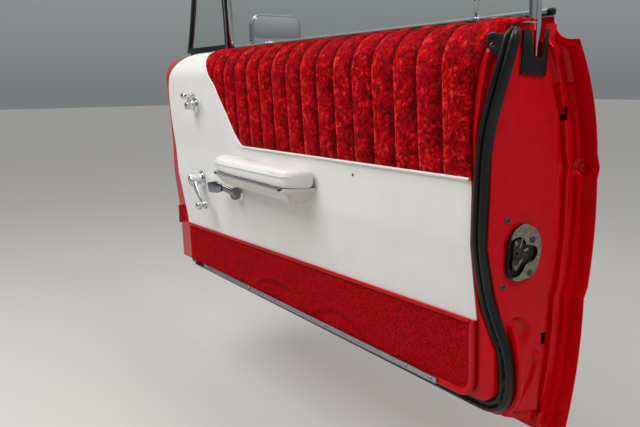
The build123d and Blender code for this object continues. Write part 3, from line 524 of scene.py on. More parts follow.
# Injection moulded styrene: warm white, glossier than the vinyl
WHITE_PLASTIC = Finish(
    "moulded styrene", "white_plastic",
    "#dddad2", "#d2cfc7", "#e5e3dc",
    0.34, Pattern.GRAINED, 2.2,
    relief=0.03,
)
# Toughened glass: clear, faintly green, with hard reflections
GLASS = Finish(
    "toughened glass", "window_glass",
    "#f4f9f7", "#f2f7f5", "#f6fbf9",
    0.0, Pattern.POLISHED, 60.0,
    ior=1.52, transmission=1.0, gloss_spread=0.0,
)
# Silvered glass: an even mirror
SILVER = Finish(
    "silvered glass", "mirror_silver",
    "#dde0e2", "#d6dadc", "#e4e6e8",
    0.01, Pattern.POLISHED, 60.0,
    metallic=1.0, gloss_spread=0.01,
)
# Phosphated steel screw heads: dark, dull and a little green
PHOSPHATE = Finish(
    "phosphated steel", "pin_steel",
    "#4c504c", "#2a2d2a", "#7c807a",
    0.4, Pattern.CAST, 3.0,
    relief=0.05, metallic=0.9, gloss_spread=0.1,
)
FINISHES = (
    ENAMEL, WHITE_VINYL, VELVET, CARPET, RED_VINYL, CHROME, ALUMINIUM, ZINC, RUBBER, HINGE_PAINT,
    STEEL, WHITE_PLASTIC, GLASS, SILVER,
)


def deselect() -> None:
    """Leaves edit mode and clears the selection."""
    if bpy.context.object and bpy.context.object.mode != "OBJECT":
        bpy.ops.object.mode_set(mode="OBJECT")
    bpy.ops.object.select_all(action="DESELECT")


def pick(piece: Piece) -> None:
    """Makes a piece the only selected one, and active.

    Args:
        piece: The mesh piece.
    """
    deselect()
    piece.select_set(True)
    bpy.context.view_layer.objects.active = piece


def apply_modifier(piece: Piece, kind: str, **settings) -> None:
    """Adds a modifier with its settings and applies it.

    Args:
        piece: The mesh piece.
        kind: Modifier type.
        **settings: Its properties.
    """
    pick(piece)
    modifier = piece.modifiers.new(kind.title(), kind)
    for name, value in settings.items():
        setattr(modifier, name, value)
    if kind == "SUBSURF":
        modifier.render_levels = modifier.levels
    bpy.ops.object.modifier_apply(modifier=modifier.name)


def rounded(piece: Piece, width: float, segments: int = 2, angle: float = 30.0) -> None:
    """Rounds a piece's sharp edges.

    Args:
        piece: The mesh piece.
        width: Width of the bevel, in millimetres.
        segments: Faces across it.
        angle: Edges flatter than this stay sharp, in degrees.
    """
    apply_modifier(
        piece, "BEVEL", width=width * MM, segments=segments, limit_method="ANGLE",
        angle_limit=math.radians(angle), harden_normals=False,
    )


def dress(
    piece: Piece,
    finish: Finish,
    body: str = DOOR,
    angle: float = 35.0,
    replaces: Sequence[str] = (),
) -> None:
    """Gives a finished mesh its finish, its smooth shading and its body.

    Args:
        piece: The mesh piece, at its place.
        finish: The material it is made of.
        body: The body that carries it.
        angle: Edges flatter than this shade smoothly, in degrees.
        replaces: Nodes that the piece stands for.
    """
    piece.data.materials.clear()
    piece.data.materials.append(finish.material())
    pick(piece)
    bpy.ops.object.shade_smooth_by_angle(angle=math.radians(angle))
    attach(piece, body)
    if replaces:
        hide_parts(*replaces)
    faces = len(piece.data.polygons)
    LOG.info("%s: %d faces, %s, rides on %s", piece.name, faces, finish.name, body)


def laid_grid(name: str, columns: int, rows: int, place: Callable[[float, float], Vector]) -> Piece:
    """Lays a grid on a surface.

    Args:
        name: The piece's name.
        columns: Faces along the first direction.
        rows: Faces along the second direction.
        place: Gives the point for two shares from 0 to 1.

    Returns:
        The sheet, its faces towards the cabin.
    """
    deselect()
    bpy.ops.mesh.primitive_grid_add(
        x_subdivisions=columns, y_subdivisions=rows, size=1, location=(0, 0, 0)
    )
    piece = bpy.context.object
    piece.name = name
    for vertex in piece.data.vertices:
        vertex.co = place(vertex.co.x + 0.5, vertex.co.y + 0.5)
    return piece


def mesh_piece(name: str, points: Sequence, faces: Sequence) -> Piece:
    """Makes a piece from its points and faces.

    Args:
        name: The piece's name.
        points: Its points, in metres.
        faces: Each face's points by number.

    Returns:
        The piece.
    """
    mesh = bpy.data.meshes.new(name)
    mesh.from_pydata([tuple(p) for p in points], [], faces)
    mesh.validate()
    piece = bpy.data.objects.new(name, mesh)
    bpy.context.scene.collection.objects.link(piece)
    return piece


def facing_out(piece: Piece) -> None:
    """Turns all faces of a closed piece outwards.

    Args:
        piece: The closed piece.
    """
    pick(piece)
    bpy.ops.object.mode_set(mode="EDIT")
    bpy.ops.mesh.select_all(action="SELECT")
    bpy.ops.mesh.normals_make_consistent(inside=False)
    bpy.ops.object.mode_set(mode="OBJECT")


def eased(points: Sequence[Vector], reaches: Sequence[float], steps: int = 8) -> list[Vector]:
    """Rounds the corners of a path.

    Args:
        points: The path's corners, ends included.
        reaches: How far each inner corner's curve starts from it, in metres.
        steps: Points on each curve.

    Returns:
        The path with a curve at each inner corner.
    """
    path = [points[0]]
    for before, corner, after, reach in zip(points, points[1:], points[2:], reaches):
        start = corner + (before - corner).normalized() * min(reach, (before - corner).length / 2)
        end = corner + (after - corner).normalized() * min(reach, (after - corner).length / 2)
        for step in range(steps + 1):
            share = step / steps
            path.append(start.lerp(corner, share).lerp(corner.lerp(end, share), share))
    path.append(points[-1])
    return path


def spread(path: Sequence[Vector], spacing: float) -> list[Vector]:
    """Adds points to a path where they lie far apart.

    Args:
        path: Points of the path.
        spacing: Furthest that two neighbours may be, in metres.

    Returns:
        The denser path.
    """
    dense = [path[0]]
    for start, end in zip(path, path[1:]):
        count = max(1, math.ceil((end - start).length / spacing))
        dense += [start.lerp(end, step / count) for step in range(1, count + 1)]
    return dense


def ring_faces(rings: int, count: int) -> list[tuple[int, ...]]:
    """Four-sided faces between rings of points.

    Args:
        rings: Number of rings, one after another.
        count: Points on each ring.

    Returns:
        Each face's points by number.
    """
    faces = []
    for first in range(0, (rings - 1) * count, count):
        for step in range(count):
            after = (step + 1) % count
            faces.append((first + step, first + after, first + count + after, first + count + step))
    return faces


def swept(
    name: str,
    path: Sequence[Vector],
    out: Callable[[Vector], Vector],
    profile: Sequence[Pair],
    scales: Optional[Sequence[float]] = None,
) -> Piece:
    """Sweeps a closed profile along a path.

    Args:
        name: The piece's name.
        path: Points of the path.
        out: Gives the outward direction at a point of the path.
        profile: Points of the section, across the path and outwards, in millimetres.
        scales: Size of the section at each point, 1 where left out.

    Returns:
        The closed piece.
    """
    count = len(profile)
    points = []
    for index, spot in enumerate(path):
        before, after = path[max(index - 1, 0)], path[min(index + 1, len(path) - 1)]
        tangent = (after - before).normalized()
        lift = out(spot)
        lift = (lift - tangent * lift.dot(tangent)).normalized()
        across = tangent.cross(lift)
        size = scales[index] if scales else 1.0
        points += [spot + (across * a + lift * b) * size * MM for a, b in profile]
    faces = ring_faces(len(path), count)
    faces += [tuple(range(count)), tuple((len(path) - 1) * count + c for c in range(count))]
    piece = mesh_piece(name, points, faces)
    facing_out(piece)
    return piece


def round_profile(width: float, height: float, steps: int = 14) -> list[Pair]:
    """Points of an oval section, in millimetres."""
    turns = [2 * math.pi * step / steps for step in range(steps)]
    return [(width / 2 * math.cos(turn), height / 2 * math.sin(turn)) for turn in turns]


def flat_profile(half: float, foot: float, side: float, shoulder: float, top: float) -> list[Pair]:
    """Points of a flat bar's section with sloped shoulders, in millimetres."""
    right = [(half, -foot), (half, side), (shoulder, top)]
    return [(-half, -foot), *right, (-shoulder, top), (-half, side)]


def axes(origin: Vector, normal: Vector, upwards: Vector = UP) -> Matrix:
    """A frame at origin whose third axis is normal and whose second leans upwards.

    Args:
        origin: The frame's place.
        normal: Direction of its third axis.
        upwards: Direction that its second axis leans to.

    Returns:
        The frame.
    """
    third = normal.normalized()
    first = upwards.cross(third).normalized()
    second = third.cross(first)
    return Matrix.Translation(origin) @ Matrix((first, second, third)).transposed().to_4x4()


def turned(name: str, rings: Sequence[Pair], placing: Matrix, steps: int = 40) -> Piece:
    """Turns a piece from rings of radius and height, in millimetres, then places it.

    Args:
        name: The piece's name.
        rings: Radius and height of each ring, from the seat outwards.
        placing: The frame whose third axis is the piece's own.
        steps: Points round each ring.

    Returns:
        The closed piece.
    """
    deselect()
    radius, height = rings[0]
    bpy.ops.mesh.primitive_circle_add(
        vertices=steps, radius=radius * MM, fill_type="NGON", location=(0, 0, 0)
    )
    piece = bpy.context.object
    piece.name = name
    piece.data.transform(Matrix.Translation((0, 0, height * MM)))
    bpy.ops.object.mode_set(mode="EDIT")
    bpy.ops.mesh.select_all(action="SELECT")
    for new_radius, new_height in rings[1:]:
        bpy.ops.mesh.extrude_region_move(
            TRANSFORM_OT_translate={"value": (0, 0, (new_height - height) * MM)}
        )
        size = new_radius / radius
        bpy.ops.transform.resize(value=(size, size, 1), center_override=(0, 0, new_height * MM))
        radius, height = new_radius, new_height
    bpy.ops.object.mode_set(mode="OBJECT")
    piece.data.transform(placing)
    facing_out(piece)
    return piece


def block(name: str, size: Point, placing: Matrix, round_by: float, segments: int = 3) -> Piece:
    """Makes a block with rounded edges.

    Args:
        name: The piece's name.
        size: Length along each axis, in millimetres.
        placing: The frame of its middle.
        round_by: Width of the bevel, in millimetres.
        segments: Faces across the bevel.

    Returns:
        The closed block.
    """
    deselect()
    bpy.ops.mesh.primitive_cube_add(size=1, location=(0, 0, 0))
    piece = bpy.context.object
    piece.name = name
    bpy.ops.object.mode_set(mode="EDIT")
    bpy.ops.mesh.select_all(action="SELECT")
    bpy.ops.transform.resize(value=tuple(s * MM for s in size))
    bpy.ops.mesh.bevel(offset=round_by * MM, segments=segments, affect="EDGES")
    bpy.ops.object.mode_set(mode="OBJECT")
    piece.data.transform(placing)
    return piece


def joined(name: str, pieces: Sequence[Piece]) -> Piece:
    """Joins meshes into one piece.

    Args:
        name: The new piece's name.
        pieces: What is joined; the first one stays.

    Returns:
        The one piece.
    """
    deselect()
    for piece in pieces:
        piece.select_set(True)
    bpy.context.view_layer.objects.active = pieces[0]
    bpy.ops.object.join()
    pieces[0].name = name
    return pieces[0]


def merged_copy(node: str, name: str) -> Piece:
    """Copies a node's mesh with its loose triangles merged, so that it can shade smoothly.

    Args:
        node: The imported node.
        name: The copy's name.

    Returns:
        The copy.
    """
    source = frame["nodes"][node]
    piece = bpy.data.objects.new(name, source.data.copy())
    bpy.context.scene.collection.objects.link(piece)
    pick(piece)
    bpy.ops.object.mode_set(mode="EDIT")
    bpy.ops.mesh.select_all(action="SELECT")
    bpy.ops.mesh.remove_doubles(threshold=0.00001)
    bpy.ops.mesh.dissolve_limited(angle_limit=math.radians(0.4))
    bpy.ops.object.mode_set(mode="OBJECT")
    if piece.data.has_custom_normals:
        bpy.ops.mesh.customdata_custom_splitnormals_clear()
    return piece


def points_of(piece: Piece) -> np.ndarray:
    """Reads where a piece's points lie.

    Args:
        piece: The mesh piece.

    Returns:
        One row to a point, in metres.
    """
    found = np.empty(len(piece.data.vertices) * 3)
    piece.data.vertices.foreach_get("co", found)
    return found.reshape(-1, 3)


def inflate(
    piece: Piece, held: Sequence[int], stiffness: float, limit: float, share: float = 1.0
) -> None:
    """Swells a closed piece by a cloth simulation under pressure.

    Args:
        piece: The piece.
        held: Points that are sewn or glued down.
        stiffness: Tension stiffness of the cloth.
        limit: Furthest that a point may move, in millimetres.
        share: Share of the movement that is kept.
    """
    before = points_of(piece)
    pins = piece.vertex_groups.new(name="held")
    pins.add(list(held), 1.0, "REPLACE")
    pick(piece)
    cloth = piece.modifiers.new("Stuffing", "CLOTH")
    cloth.settings.vertex_group_mass = pins.name
    cloth.settings.use_pressure = True
    cloth.settings.uniform_pressure_force = CLOTH_PRESSURE
    cloth.settings.tension_stiffness = stiffness
    cloth.settings.quality = 5
    cloth.settings.effector_weights.gravity = 0.0
    cloth.collision_settings.use_collision = False
    for step in range(1, CLOTH_FRAMES + 1):
        bpy.context.scene.frame_set(step)
    bpy.ops.object.modifier_apply(modifier=cloth.name)
    bpy.context.scene.frame_set(1)
    move = points_of(piece) - before
    length = np.linalg.norm(move, axis=1, keepdims=True)
    move *= np.minimum(1.0, limit * MM / np.maximum(length, 1e-9)) * share
    piece.data.vertices.foreach_set("co", (before + move).ravel())
    LOG.info("%s swelled by up to %.1f mm", piece.name, float(length.max()) / MM)


def store(piece: Piece, name: str, values: np.ndarray) -> None:
    """Stores one number per point on a piece, for its finish to read."""
    attribute = piece.data.attributes.new(name, "FLOAT", "POINT")
    attribute.data.foreach_set("value", values.astype(np.float32))


@dataclass(frozen=True)
class TrimSection:
    """Section of the door's inner face: depths and heights in millimetres."""

    heights: tuple[float, ...] = (-12.0, 114.0, 240.0, 320.0, 507.0)
    depths: tuple[float, ...] = (17.0, 14.0, 0.0, 0.0, -10.5)
    roll_radius: float = 66.5
    slot: float = 72.0
    front_low: float = 1123.0
    front_top: float = 1190.0
    front_knee: float = 400.0
    front_corner: float = 120.0
    flare_start: float = 400.0
    flare_reach: float = 34.0
    shoulder_start: float = 548.0
    shoulder_reach: float = 20.0
    kick_rear: float = 5.0

    @property
    def roll_height(self) -> float:
        """Height where the face starts to roll over."""
        return self.heights[-1]

    @property
    def hub(self) -> float:
        """Depth of the roll's axis."""
        return self.roll_radius + self.depths[-1]

    @property
    def top(self) -> float:
        """Height of the trim over the belt."""
        return self.roll_height + self.roll_radius

    @property
    def roll_end(self) -> float:
        """Run at which the roll meets the flat top."""
        return self.roll_height + self.roll_radius * math.pi / 2

    @property
    def length(self) -> float:
        """Whole run of the section, up to the window slot."""
        return self.roll_end + self.slot - self.hub

    def spot(self, run: float, proud: float = 0.0) -> Pair:
        """A point of the section.

        Args:
            run: Height below the roll, and distance along the face past it.
            proud: Height off the face, into the cabin.

        Returns:
            Depth and height.
        """
        if run <= self.roll_height:
            return float(np.interp(run, self.heights, self.depths)) - proud, run
        if run >= self.roll_end:
            return self.hub + run - self.roll_end, self.top + proud
        turn = (run - self.roll_height) / self.roll_radius
        reach = self.roll_radius + proud
        return self.hub - reach * math.cos(turn), self.roll_height + reach * math.sin(turn)

    def run_at(self, height: float) -> float:
        """The run at which the face reaches a height.

        Args:
            height: Height above the lower edge line.

        Returns:
            Height below the roll, and distance along the face past it.
        """
        if height <= self.roll_height:
            return height
        share = min((height - self.roll_height) / self.roll_radius, 1.0)
        return self.roll_height + self.roll_radius * math.asin(share)

    def normal(self, run: float) -> Vector:
        """Direction into the cabin at a run.

        Args:
            run: Height below the roll, and distance along the face past it.

        Returns:
            The direction, of length 1.
        """
        low, high = self.spot(run - 1), self.spot(run + 1)
        rise = Vector((0, high[0] - low[0], high[1] - low[1])).normalized()
        return Vector((0, -rise.z, rise.y))

    def front(self, height: float) -> float:
        """The trim's front edge at a height.

        Args:
            height: Height above the lower edge line.

        Returns:
            Its place along the door.
        """
        corner = self.top - self.front_corner
        if height > corner:
            rise = min(height - corner, self.front_corner)
            return -self.front_top + self.front_corner - math.sqrt(self.front_corner**2 - rise**2)
        return -float(np.interp(height, (-12.0, self.front_knee), (self.front_low, self.front_top)))

    def rear(self, height: float) -> float:
        """The trim's rear edge at a height.

        Args:
            height: Height above the lower edge line.

        Returns:
            Its place along the door.
        """
        low = float(np.interp(height, (114.0, 240.0), (self.kick_rear, 0.0)))
        rise = max(height - self.flare_start, 0.0) / (self.top - self.flare_start)
        shoulder = max(height - self.shoulder_start, 0.0) / (self.top - self.shoulder_start)
        return low + self.flare_reach * rise**1.6 + self.shoulder_reach * shoulder**1.5


SECTION = TrimSection()


def on_trim(along: float, run: float, proud: float = 0.0) -> Vector:
    """A point of the frame on the trim's face."""
    depth, height = SECTION.spot(run, proud)
    return DATUM.at(along, depth, height)


def smooth(share: float) -> float:
    """Eases a share from 0 to 1."""
    share = min(max(share, 0.0), 1.0)
    return share * share * (3 - 2 * share)


@dataclass
class VelvetPad:
    """Sewn pad of crushed velvet in upright channels, with a white welt at its foot and front."""

    foot: float = 341.0
    front: tuple[float, ...] = (760.0, 866.0, 968.0)
    front_heights: tuple[float, ...] = (341.0, 475.0, 573.5)
    first_seam: float = -874.9
    channel: float = 58.4
    seams: int = 15
    columns: int = 8
    rows: int = 44
    crown: float = 5.0
    seam_lift: float = 0.6
    backing: float = 3.0
    movement: float = 8.0
    stiffness: float = 8.0
    welt: float = 5.2
    corner: float = 26.0
    corner_rise: float = 0.35
    crease_height: float = 0.5
    welt_lift: float = 1.2
    overhang: float = 1.2
    turned_share: float = 0.87
    wrap: float = 5.0

    @property
    def edges(self) -> list[float]:
        """Where the channels' edges lie along the door."""
        seams = [self.first_seam + self.channel * index for index in range(self.seams)]
        return [-self.front[-1], *seams, 0.0]

    def start(self, along: float) -> float:
        """Run at which the pad starts at a place along the door.

        Args:
            along: Place along the door.

        Returns:
            The pad's foot, or its front edge past the corner.
        """
        if along >= -self.front[0] + self.corner:
            return self.foot
        if along >= -self.front[0]:
            share = 1 - (along + self.front[0]) / self.corner
            return self.foot + self.corner_rise * self.corner * share**2
        height = float(np.interp(-along, self.front, self.front_heights))
        past = math.exp((along + self.front[0]) / self.corner)
        return SECTION.run_at(height + self.corner_rise * self.corner * past)

    def lay(self, u: float, v: float) -> Vector:
        """Point of the unswollen pad.

        Args:
            u: Share of the way from the front channel to the last.
            v: Share of the way up.

        Returns:
            The point.
        """
        edges = self.edges
        count = len(edges) - 1
        channel = min(int(u * count), count - 1)
        share = u * count - channel
        low, high = edges[channel], edges[channel + 1]
        along = low + (high - low) * share
        start = self.start(along)
        run = start + (SECTION.length - start) * v
        puff = (1 - abs(2 * share - 1) ** 2.4) * (1 - abs(2 * v - 1) ** 12)
        if channel == count - 1:
            round_edge = min(share / self.turned_share, 1.0)
            along = low + (SECTION.rear(SECTION.spot(run)[1]) + self.overhang - low) * round_edge
            puff = (1 - abs(2 * round_edge - 1) ** 3) * (1 - abs(2 * v - 1) ** 12)
            wrap = max(share - self.turned_share, 0.0) / (1 - self.turned_share)
            return on_trim(along, run, self.seam_lift + self.crown * puff - self.wrap * wrap)
        return on_trim(along, run, self.seam_lift + self.crown * puff)

    def build(self) -> None:
        """Makes the pad and its welt."""
        total = self.columns * (len(self.edges) - 1)
        pad = laid_grid("velvet_cover", total, self.rows, self.lay)
        front = len(pad.data.vertices)
        sewn = [
            index for index in range(front)
            if index % (total + 1) % self.columns == 0 or index // (total + 1) in (0, self.rows)
        ]
        apply_modifier(pad, "SOLIDIFY", thickness=self.backing * MM, offset=-1.0)
        back = range(front, len(pad.data.vertices))
        inflate(pad, sewn + list(back), self.stiffness, self.movement)
        apply_modifier(pad, "SUBSURF", levels=1)
        self.crease(pad)
        dress(pad, VELVET, angle=75, replaces=["velvet_pad"])
        self.build_welt()

    def crease(self, pad: Piece) -> None:
        """Adds the small creases that crushing left in the pile.

        Args:
            pad: The pad.
        """
        for vertex in pad.data.vertices:
            place = vertex.co / (self.channel * MM)
            lift = noise.fractal(place * 3.0, 0.8, 2.2, 3)
            vertex.co.y += self.crease_height * MM * lift

    def build_welt(self) -> None:
        """Makes the white welt round the pad's foot and front."""
        lift = self.welt_lift
        rear, corner = on_trim(0.0, self.foot, lift), on_trim(-self.front[0], self.foot, lift)
        rise = [
            on_trim(-float(np.interp(h, self.front_heights, self.front)), SECTION.run_at(h), lift)
            for h in np.linspace(self.foot, SECTION.top, 40)[1:]
        ]
        end = on_trim(-self.front[-1], SECTION.length, lift)
        path = spread(eased([rear, corner, rise[6]], [28 * MM]) + rise[7:] + [end], PATH_STEP)
        welt = swept("velvet_welt", path, self.outward, round_profile(self.welt, 6.0))
        dress(welt, WHITE_VINYL, angle=80, replaces=["trim_piping"])

    @staticmethod
    def outward(spot: Vector) -> Vector:
        """Direction off the trim at a point of the welt.

        Args:
            spot: The point.

        Returns:
            The direction, of any length.
        """
        height = (spot.z - DATUM.sill) / MM
        if height < SECTION.roll_height:
            return CABINWARD
        hub = DATUM.at(0, SECTION.hub, SECTION.roll_height)
        return Vector((0, spot.y - hub.y, spot.z - hub.z))


@dataclass
class TrimPanel:
    """White vinyl over a card, rolled over the belt, with turned edges."""

    rows: int = 70
    columns: int = 130
    thickness: float = 3.0
    edge: float = 5.0
    kick_top: float = 117.0
    kick_fall: float = 22.0
    panel_length: float = 1205.0
    edge_sink: float = 0.7
    wave: float = 0.35
    wave_pitch: Pair = (90.0, 70.0)
    tuck: float = 6.0
    tuck_reach: float = 4.0
    plug: Pair = (-302.0, 318.0)

    def low(self, along: float) -> float:
        """Height of the kick panel's top edge at a place along the door."""
        return self.kick_top + self.kick_fall * along / self.panel_length

    def lay(self, u: float, v: float) -> Vector:
        """Point of the panel.

        Args:
            u: Share along, from the front.
            v: Share up.

        Returns:
            The point.
        """
        guess = -SECTION.front_top * (1 - u)
        start = self.low(guess)
        run = start + (SECTION.length - start) * v
        height = SECTION.spot(run)[1]
        front, rear = SECTION.front(height), SECTION.rear(height)
        rear -= self.tuck * smooth((run - VelvetPad.foot) / self.tuck_reach)
        along = front + (rear - front) * u
        border = min(along - front, rear - along)
        sink = self.thickness * (1 - smooth(border / self.edge)) * self.edge_sink
        spot = Vector((along / self.wave_pitch[0], run / self.wave_pitch[1], 0.0))
        wave = self.wave * noise.noise(spot)
        return on_trim(along, run, wave - sink)

    def build(self) -> None:
        """Makes the panel and the plug in it."""
        panel = laid_grid("vinyl_panel", self.columns, self.rows, self.lay)
        apply_modifier(panel, "SOLIDIFY", thickness=self.thickness * MM, offset=-1.0)
        dress(panel, WHITE_VINYL, angle=60, replaces=["trim_panel"])
        rings = [(2.6, -1.0), (2.6, 0.6), (1.8, 1.1)]
        plug = turned("panel_plug", rings, axes(on_trim(*self.plug, 0.2), CABINWARD), 16)
        dress(plug, PHOSPHATE)


@dataclass
class KickPanel:
    """Looped carpet along the foot of the trim, with its welt, its bound edge and a tread strip."""

    top: float = 110.0
    bottom: float = -12.0
    fall: float = 22.0
    panel_length: float = 1205.0
    front: float = -1127.0
    rear: float = -7.0
    corner: float = 32.0
    pitch: float = 2.3
    pile: float = 1.5
    proud: float = 2.0
    welt: float = 7.5
    welt_rise: float = 4.0
    welt_proud: float = 2.2
    binding: float = 12.0
    tread_share: float = 0.62
    thickness: float = 5.0
    tuft: float = 4.2
    ease: float = 2.4
    ease_start: float = -760.0
    ease_middle: float = -620.0
    ease_reach: float = 260.0
    ease_pitch: float = 170.0
    ease_slant: float = 1.6
    ease_top: float = 100.0
    crest: float = 7.5
    crest_width: float = 9.0
    folds: tuple[Point, ...] = (
        # (middle along the door, half its length, crest's height)
        (-620.0, 118.0, 34.0),
        (-372.0, 95.0, 27.0),
    )

    def rise(self, along: float) -> float:
        """Height of the carpet's top edge at a place along the door."""
        return self.top + self.fall * along / self.panel_length

    def back(self, height: float) -> float:
        """The carpet's rear edge at a height, rounded at its foot.

        Args:
            height: Height above the lower edge line.

        Returns:
            Its place along the door.
        """
        above = height - self.bottom
        if above >= self.corner:
            return self.rear
        return self.rear - self.corner + math.sqrt(self.corner**2 - (self.corner - above) ** 2)

    def fold(self, along: float, height: float) -> float:
        """Soft folds where the carpet has eased off its glue.

        Args:
            along: Place along the door.
            height: Height above the lower edge line.

        Returns:
            How far the carpet stands off, in millimetres.
        """
        below = self.ease_top - height
        drop = (along - self.ease_start + below * self.ease_slant) / self.ease_pitch
        fade = math.exp(-(((along - self.ease_middle) / self.ease_reach) ** 2))
        lift = self.ease * (math.sin(drop * 2 * math.pi) * fade) * smooth(below / 60 + 0.4)
        for middle, half, crest in self.folds:
            away = (along - middle) / half
            turn = (height - crest * (1 - away**2)) / self.crest_width
            lift += self.crest * turn * math.exp(-(turn**2) - away**4)
        return lift

    def lay(self, u: float, v: float) -> Vector:
        """Point of the carpet.

        Args:
            u: Share along, from the front.
            v: Share up.

        Returns:
            The point.
        """
        along = self.front + (self.rear - self.front) * u
        height = self.bottom + (self.rise(along) - self.bottom) * v
        along = self.front + (self.back(height) - self.front) * u
        spot = Vector((along / self.tuft, height / self.tuft, 0.0))
        tuft = noise.cell(spot * 1.3) * 0.4 + noise.noise(spot * 1.9) * 0.6
        edge = smooth(min(1 - u, u, 1 - v, v) * 60)
        lift = self.fold(along, height) + self.pile * tuft
        return on_trim(along, height, self.proud + lift * edge)

    def build(self) -> None:
        """Makes the carpet, its welt and its bound edge, and fits the tread strip under them."""
        columns = int((self.rear - self.front) / self.pitch)
        rows = int((self.top - self.bottom) / self.pitch)
        carpet = laid_grid("loop_carpet", columns, rows, self.lay)
        apply_modifier(carpet, "SOLIDIFY", thickness=self.thickness * MM, offset=-1.0)
        dress(carpet, CARPET, angle=180, replaces=["carpet_panel"])
        places = np.linspace(self.front - 2, self.rear + 2, 60)
        path = [
            on_trim(along, self.rise(along) + self.welt_rise, self.welt_proud) for along in places
        ]
        welt = swept("carpet_welt", path, lambda s: CABINWARD, round_profile(self.welt, 8.0))
        dress(welt, RED_VINYL, angle=80)
        self.build_binding()
        self.settle_tread()
        self.build_screws()

    def build_binding(self) -> None:
        """Makes the smooth binding down the rear edge and round the corner."""
        middle = self.rear + self.binding / 2
        radius = self.corner + self.binding / 2
        low = self.bottom - 0.5
        corners = [
            on_trim(middle, self.rise(0) + 7.0, 1.6),
            on_trim(middle, 60.0, 1.6),
            DATUM.at(middle, SECTION.spot(low)[0] - 1.6, low),
            DATUM.at(-90.0, SECTION.spot(low)[0] - 1.6, low),
        ]
        path = spread(eased(corners, [0.0, radius * MM * 0.9], 14), PATH_STEP)
        flat = [(-6.0, -2.0), (6.0, -2.0), (6.0, 0.6), (4.6, 2.0), (0.0, 2.4), (-4.6, 2.0),
                (-6.0, 0.6)]
        binding = swept("carpet_bound_edge", path, lambda s: CABINWARD, flat)
        dress(binding, RED_VINYL, angle=50, replaces=["carpet_binding"])

    def settle_tread(self) -> None:
        """Narrows the tread strip to what the carpet leaves open."""
        strip = bpy.data.objects["sill_moulding_formed"]
        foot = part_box("sill_moulding")[0].z
        for vertex in strip.data.vertices:
            vertex.co.z = foot + (vertex.co.z - foot) * self.tread_share

    def build_screws(self) -> None:
        """Puts round screws through the tread strip."""
        low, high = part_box("sill_moulding")
        face = (low.y - DATUM.cabin) / MM
        height = (low.z + (high.z - low.z) * self.tread_share / 2 - DATUM.sill) / MM
        rings = [(3.8, -1.5), (3.8, 0.3), (3.0, 1.4), (1.2, 1.9)]
        for index, along in enumerate((-1010.0, -760.0, -420.0, -157.0, -92.0)):
            placing = axes(DATUM.at(along, face, height), CABINWARD)
            dress(turned(f"tread_screw_{index + 1}", rings, placing, 16), STEEL)


@dataclass
class Weatherstrip:
    """Double bead of sponge rubber round the rear and foot of the door, with a tab at its top."""

    width: float = 25.0
    height: float = 13.5
    groove: float = 5.0
    groove_width: float = 2.2
    bends: tuple[float, ...] = (30.0, 50.0, 40.0, 40.0, 34.0, 50.0)
    tip: float = 14.0
    tip_share: float = 0.45
    dust_width: float = 2.6
    dust_top: float = 190.0
    dust_reach: float = 120.0

    def corners(self) -> list[Vector]:
        """Corners of the strip's line on its seat.

        Returns:
            The corners, from the tab round to the front.
        """
        places = (
            # (along, depth, height)
            (58.0, 22.0, 560.0),
            (50.0, 6.0, 490.0),
            (23.0, 5.3, 405.0),
            (19.0, 5.3, 240.0),
            (19.0, 30.0, 140.0),
            (48.0, 43.0, 64.0),
            (49.0, 45.0, -28.0),
            (-1150.0, 48.0, -28.0),
        )
        return [DATUM.at(*place) for place in places]

    def profile(self) -> list[Pair]:
        """Section of the double bead.

        Returns:
            Points across the strip and off its seat, in millimetres.
        """
        half, bead = self.width / 2, self.width / 4
        points = []
        for step in range(25):
            across = -half + self.width * step / 24
            rise = self.height * math.sqrt(max(0.0, 1 - ((abs(across) - bead) / bead) ** 2))
            valley = self.height - self.groove * math.exp(-((across / self.groove_width) ** 2))
            points.append((across, max(rise, valley if abs(across) < bead else 0.0)))
        return points + [(half, -0.2), (-half, -0.2)]

    def build(self) -> None:
        """Makes the strip, its tab and the dust in its groove."""
        reaches = [reach * MM for reach in self.bends]
        path = spread(eased(self.corners(), reaches), 0.008)
        profile = self.profile()
        run = np.cumsum([0.0] + [(b - a).length / MM for a, b in zip(path, path[1:])])
        sizes = [self.tip_share + (1 - self.tip_share) * smooth(reach / self.tip) for reach in run]
        strip = swept("rubber_strip", path, lambda s: Vector((0.12, -1, 0)), profile, sizes)
        dust = [math.exp(-((a / self.dust_width) ** 2)) if b > 1 else 0.0 for a, b in profile]
        heights = [(spot.z - DATUM.sill) / MM for spot in path]
        low = [smooth((self.dust_top - height) / self.dust_reach) for height in heights]
        store(strip, "dust", np.outer(low, dust).ravel())
        dress(strip, RUBBER, angle=70, replaces=["weatherstrip"])
        tab = holed_plate(
            "rubber_tab",
            [(-17, 15), (-8, 17), (10, 13), (17, 4), (15, -12), (4, -17), (-9, -13), (-16, -3)],
            [(x - 9, y) for x, y in round_profile(6.4, 6.4, 8)],
            4.0,
            axes(DATUM.at(42.0, 5.0, 537.0), Vector((0.45, -1.0, 0.1))),
        )
        dress(tab, RUBBER, angle=50)


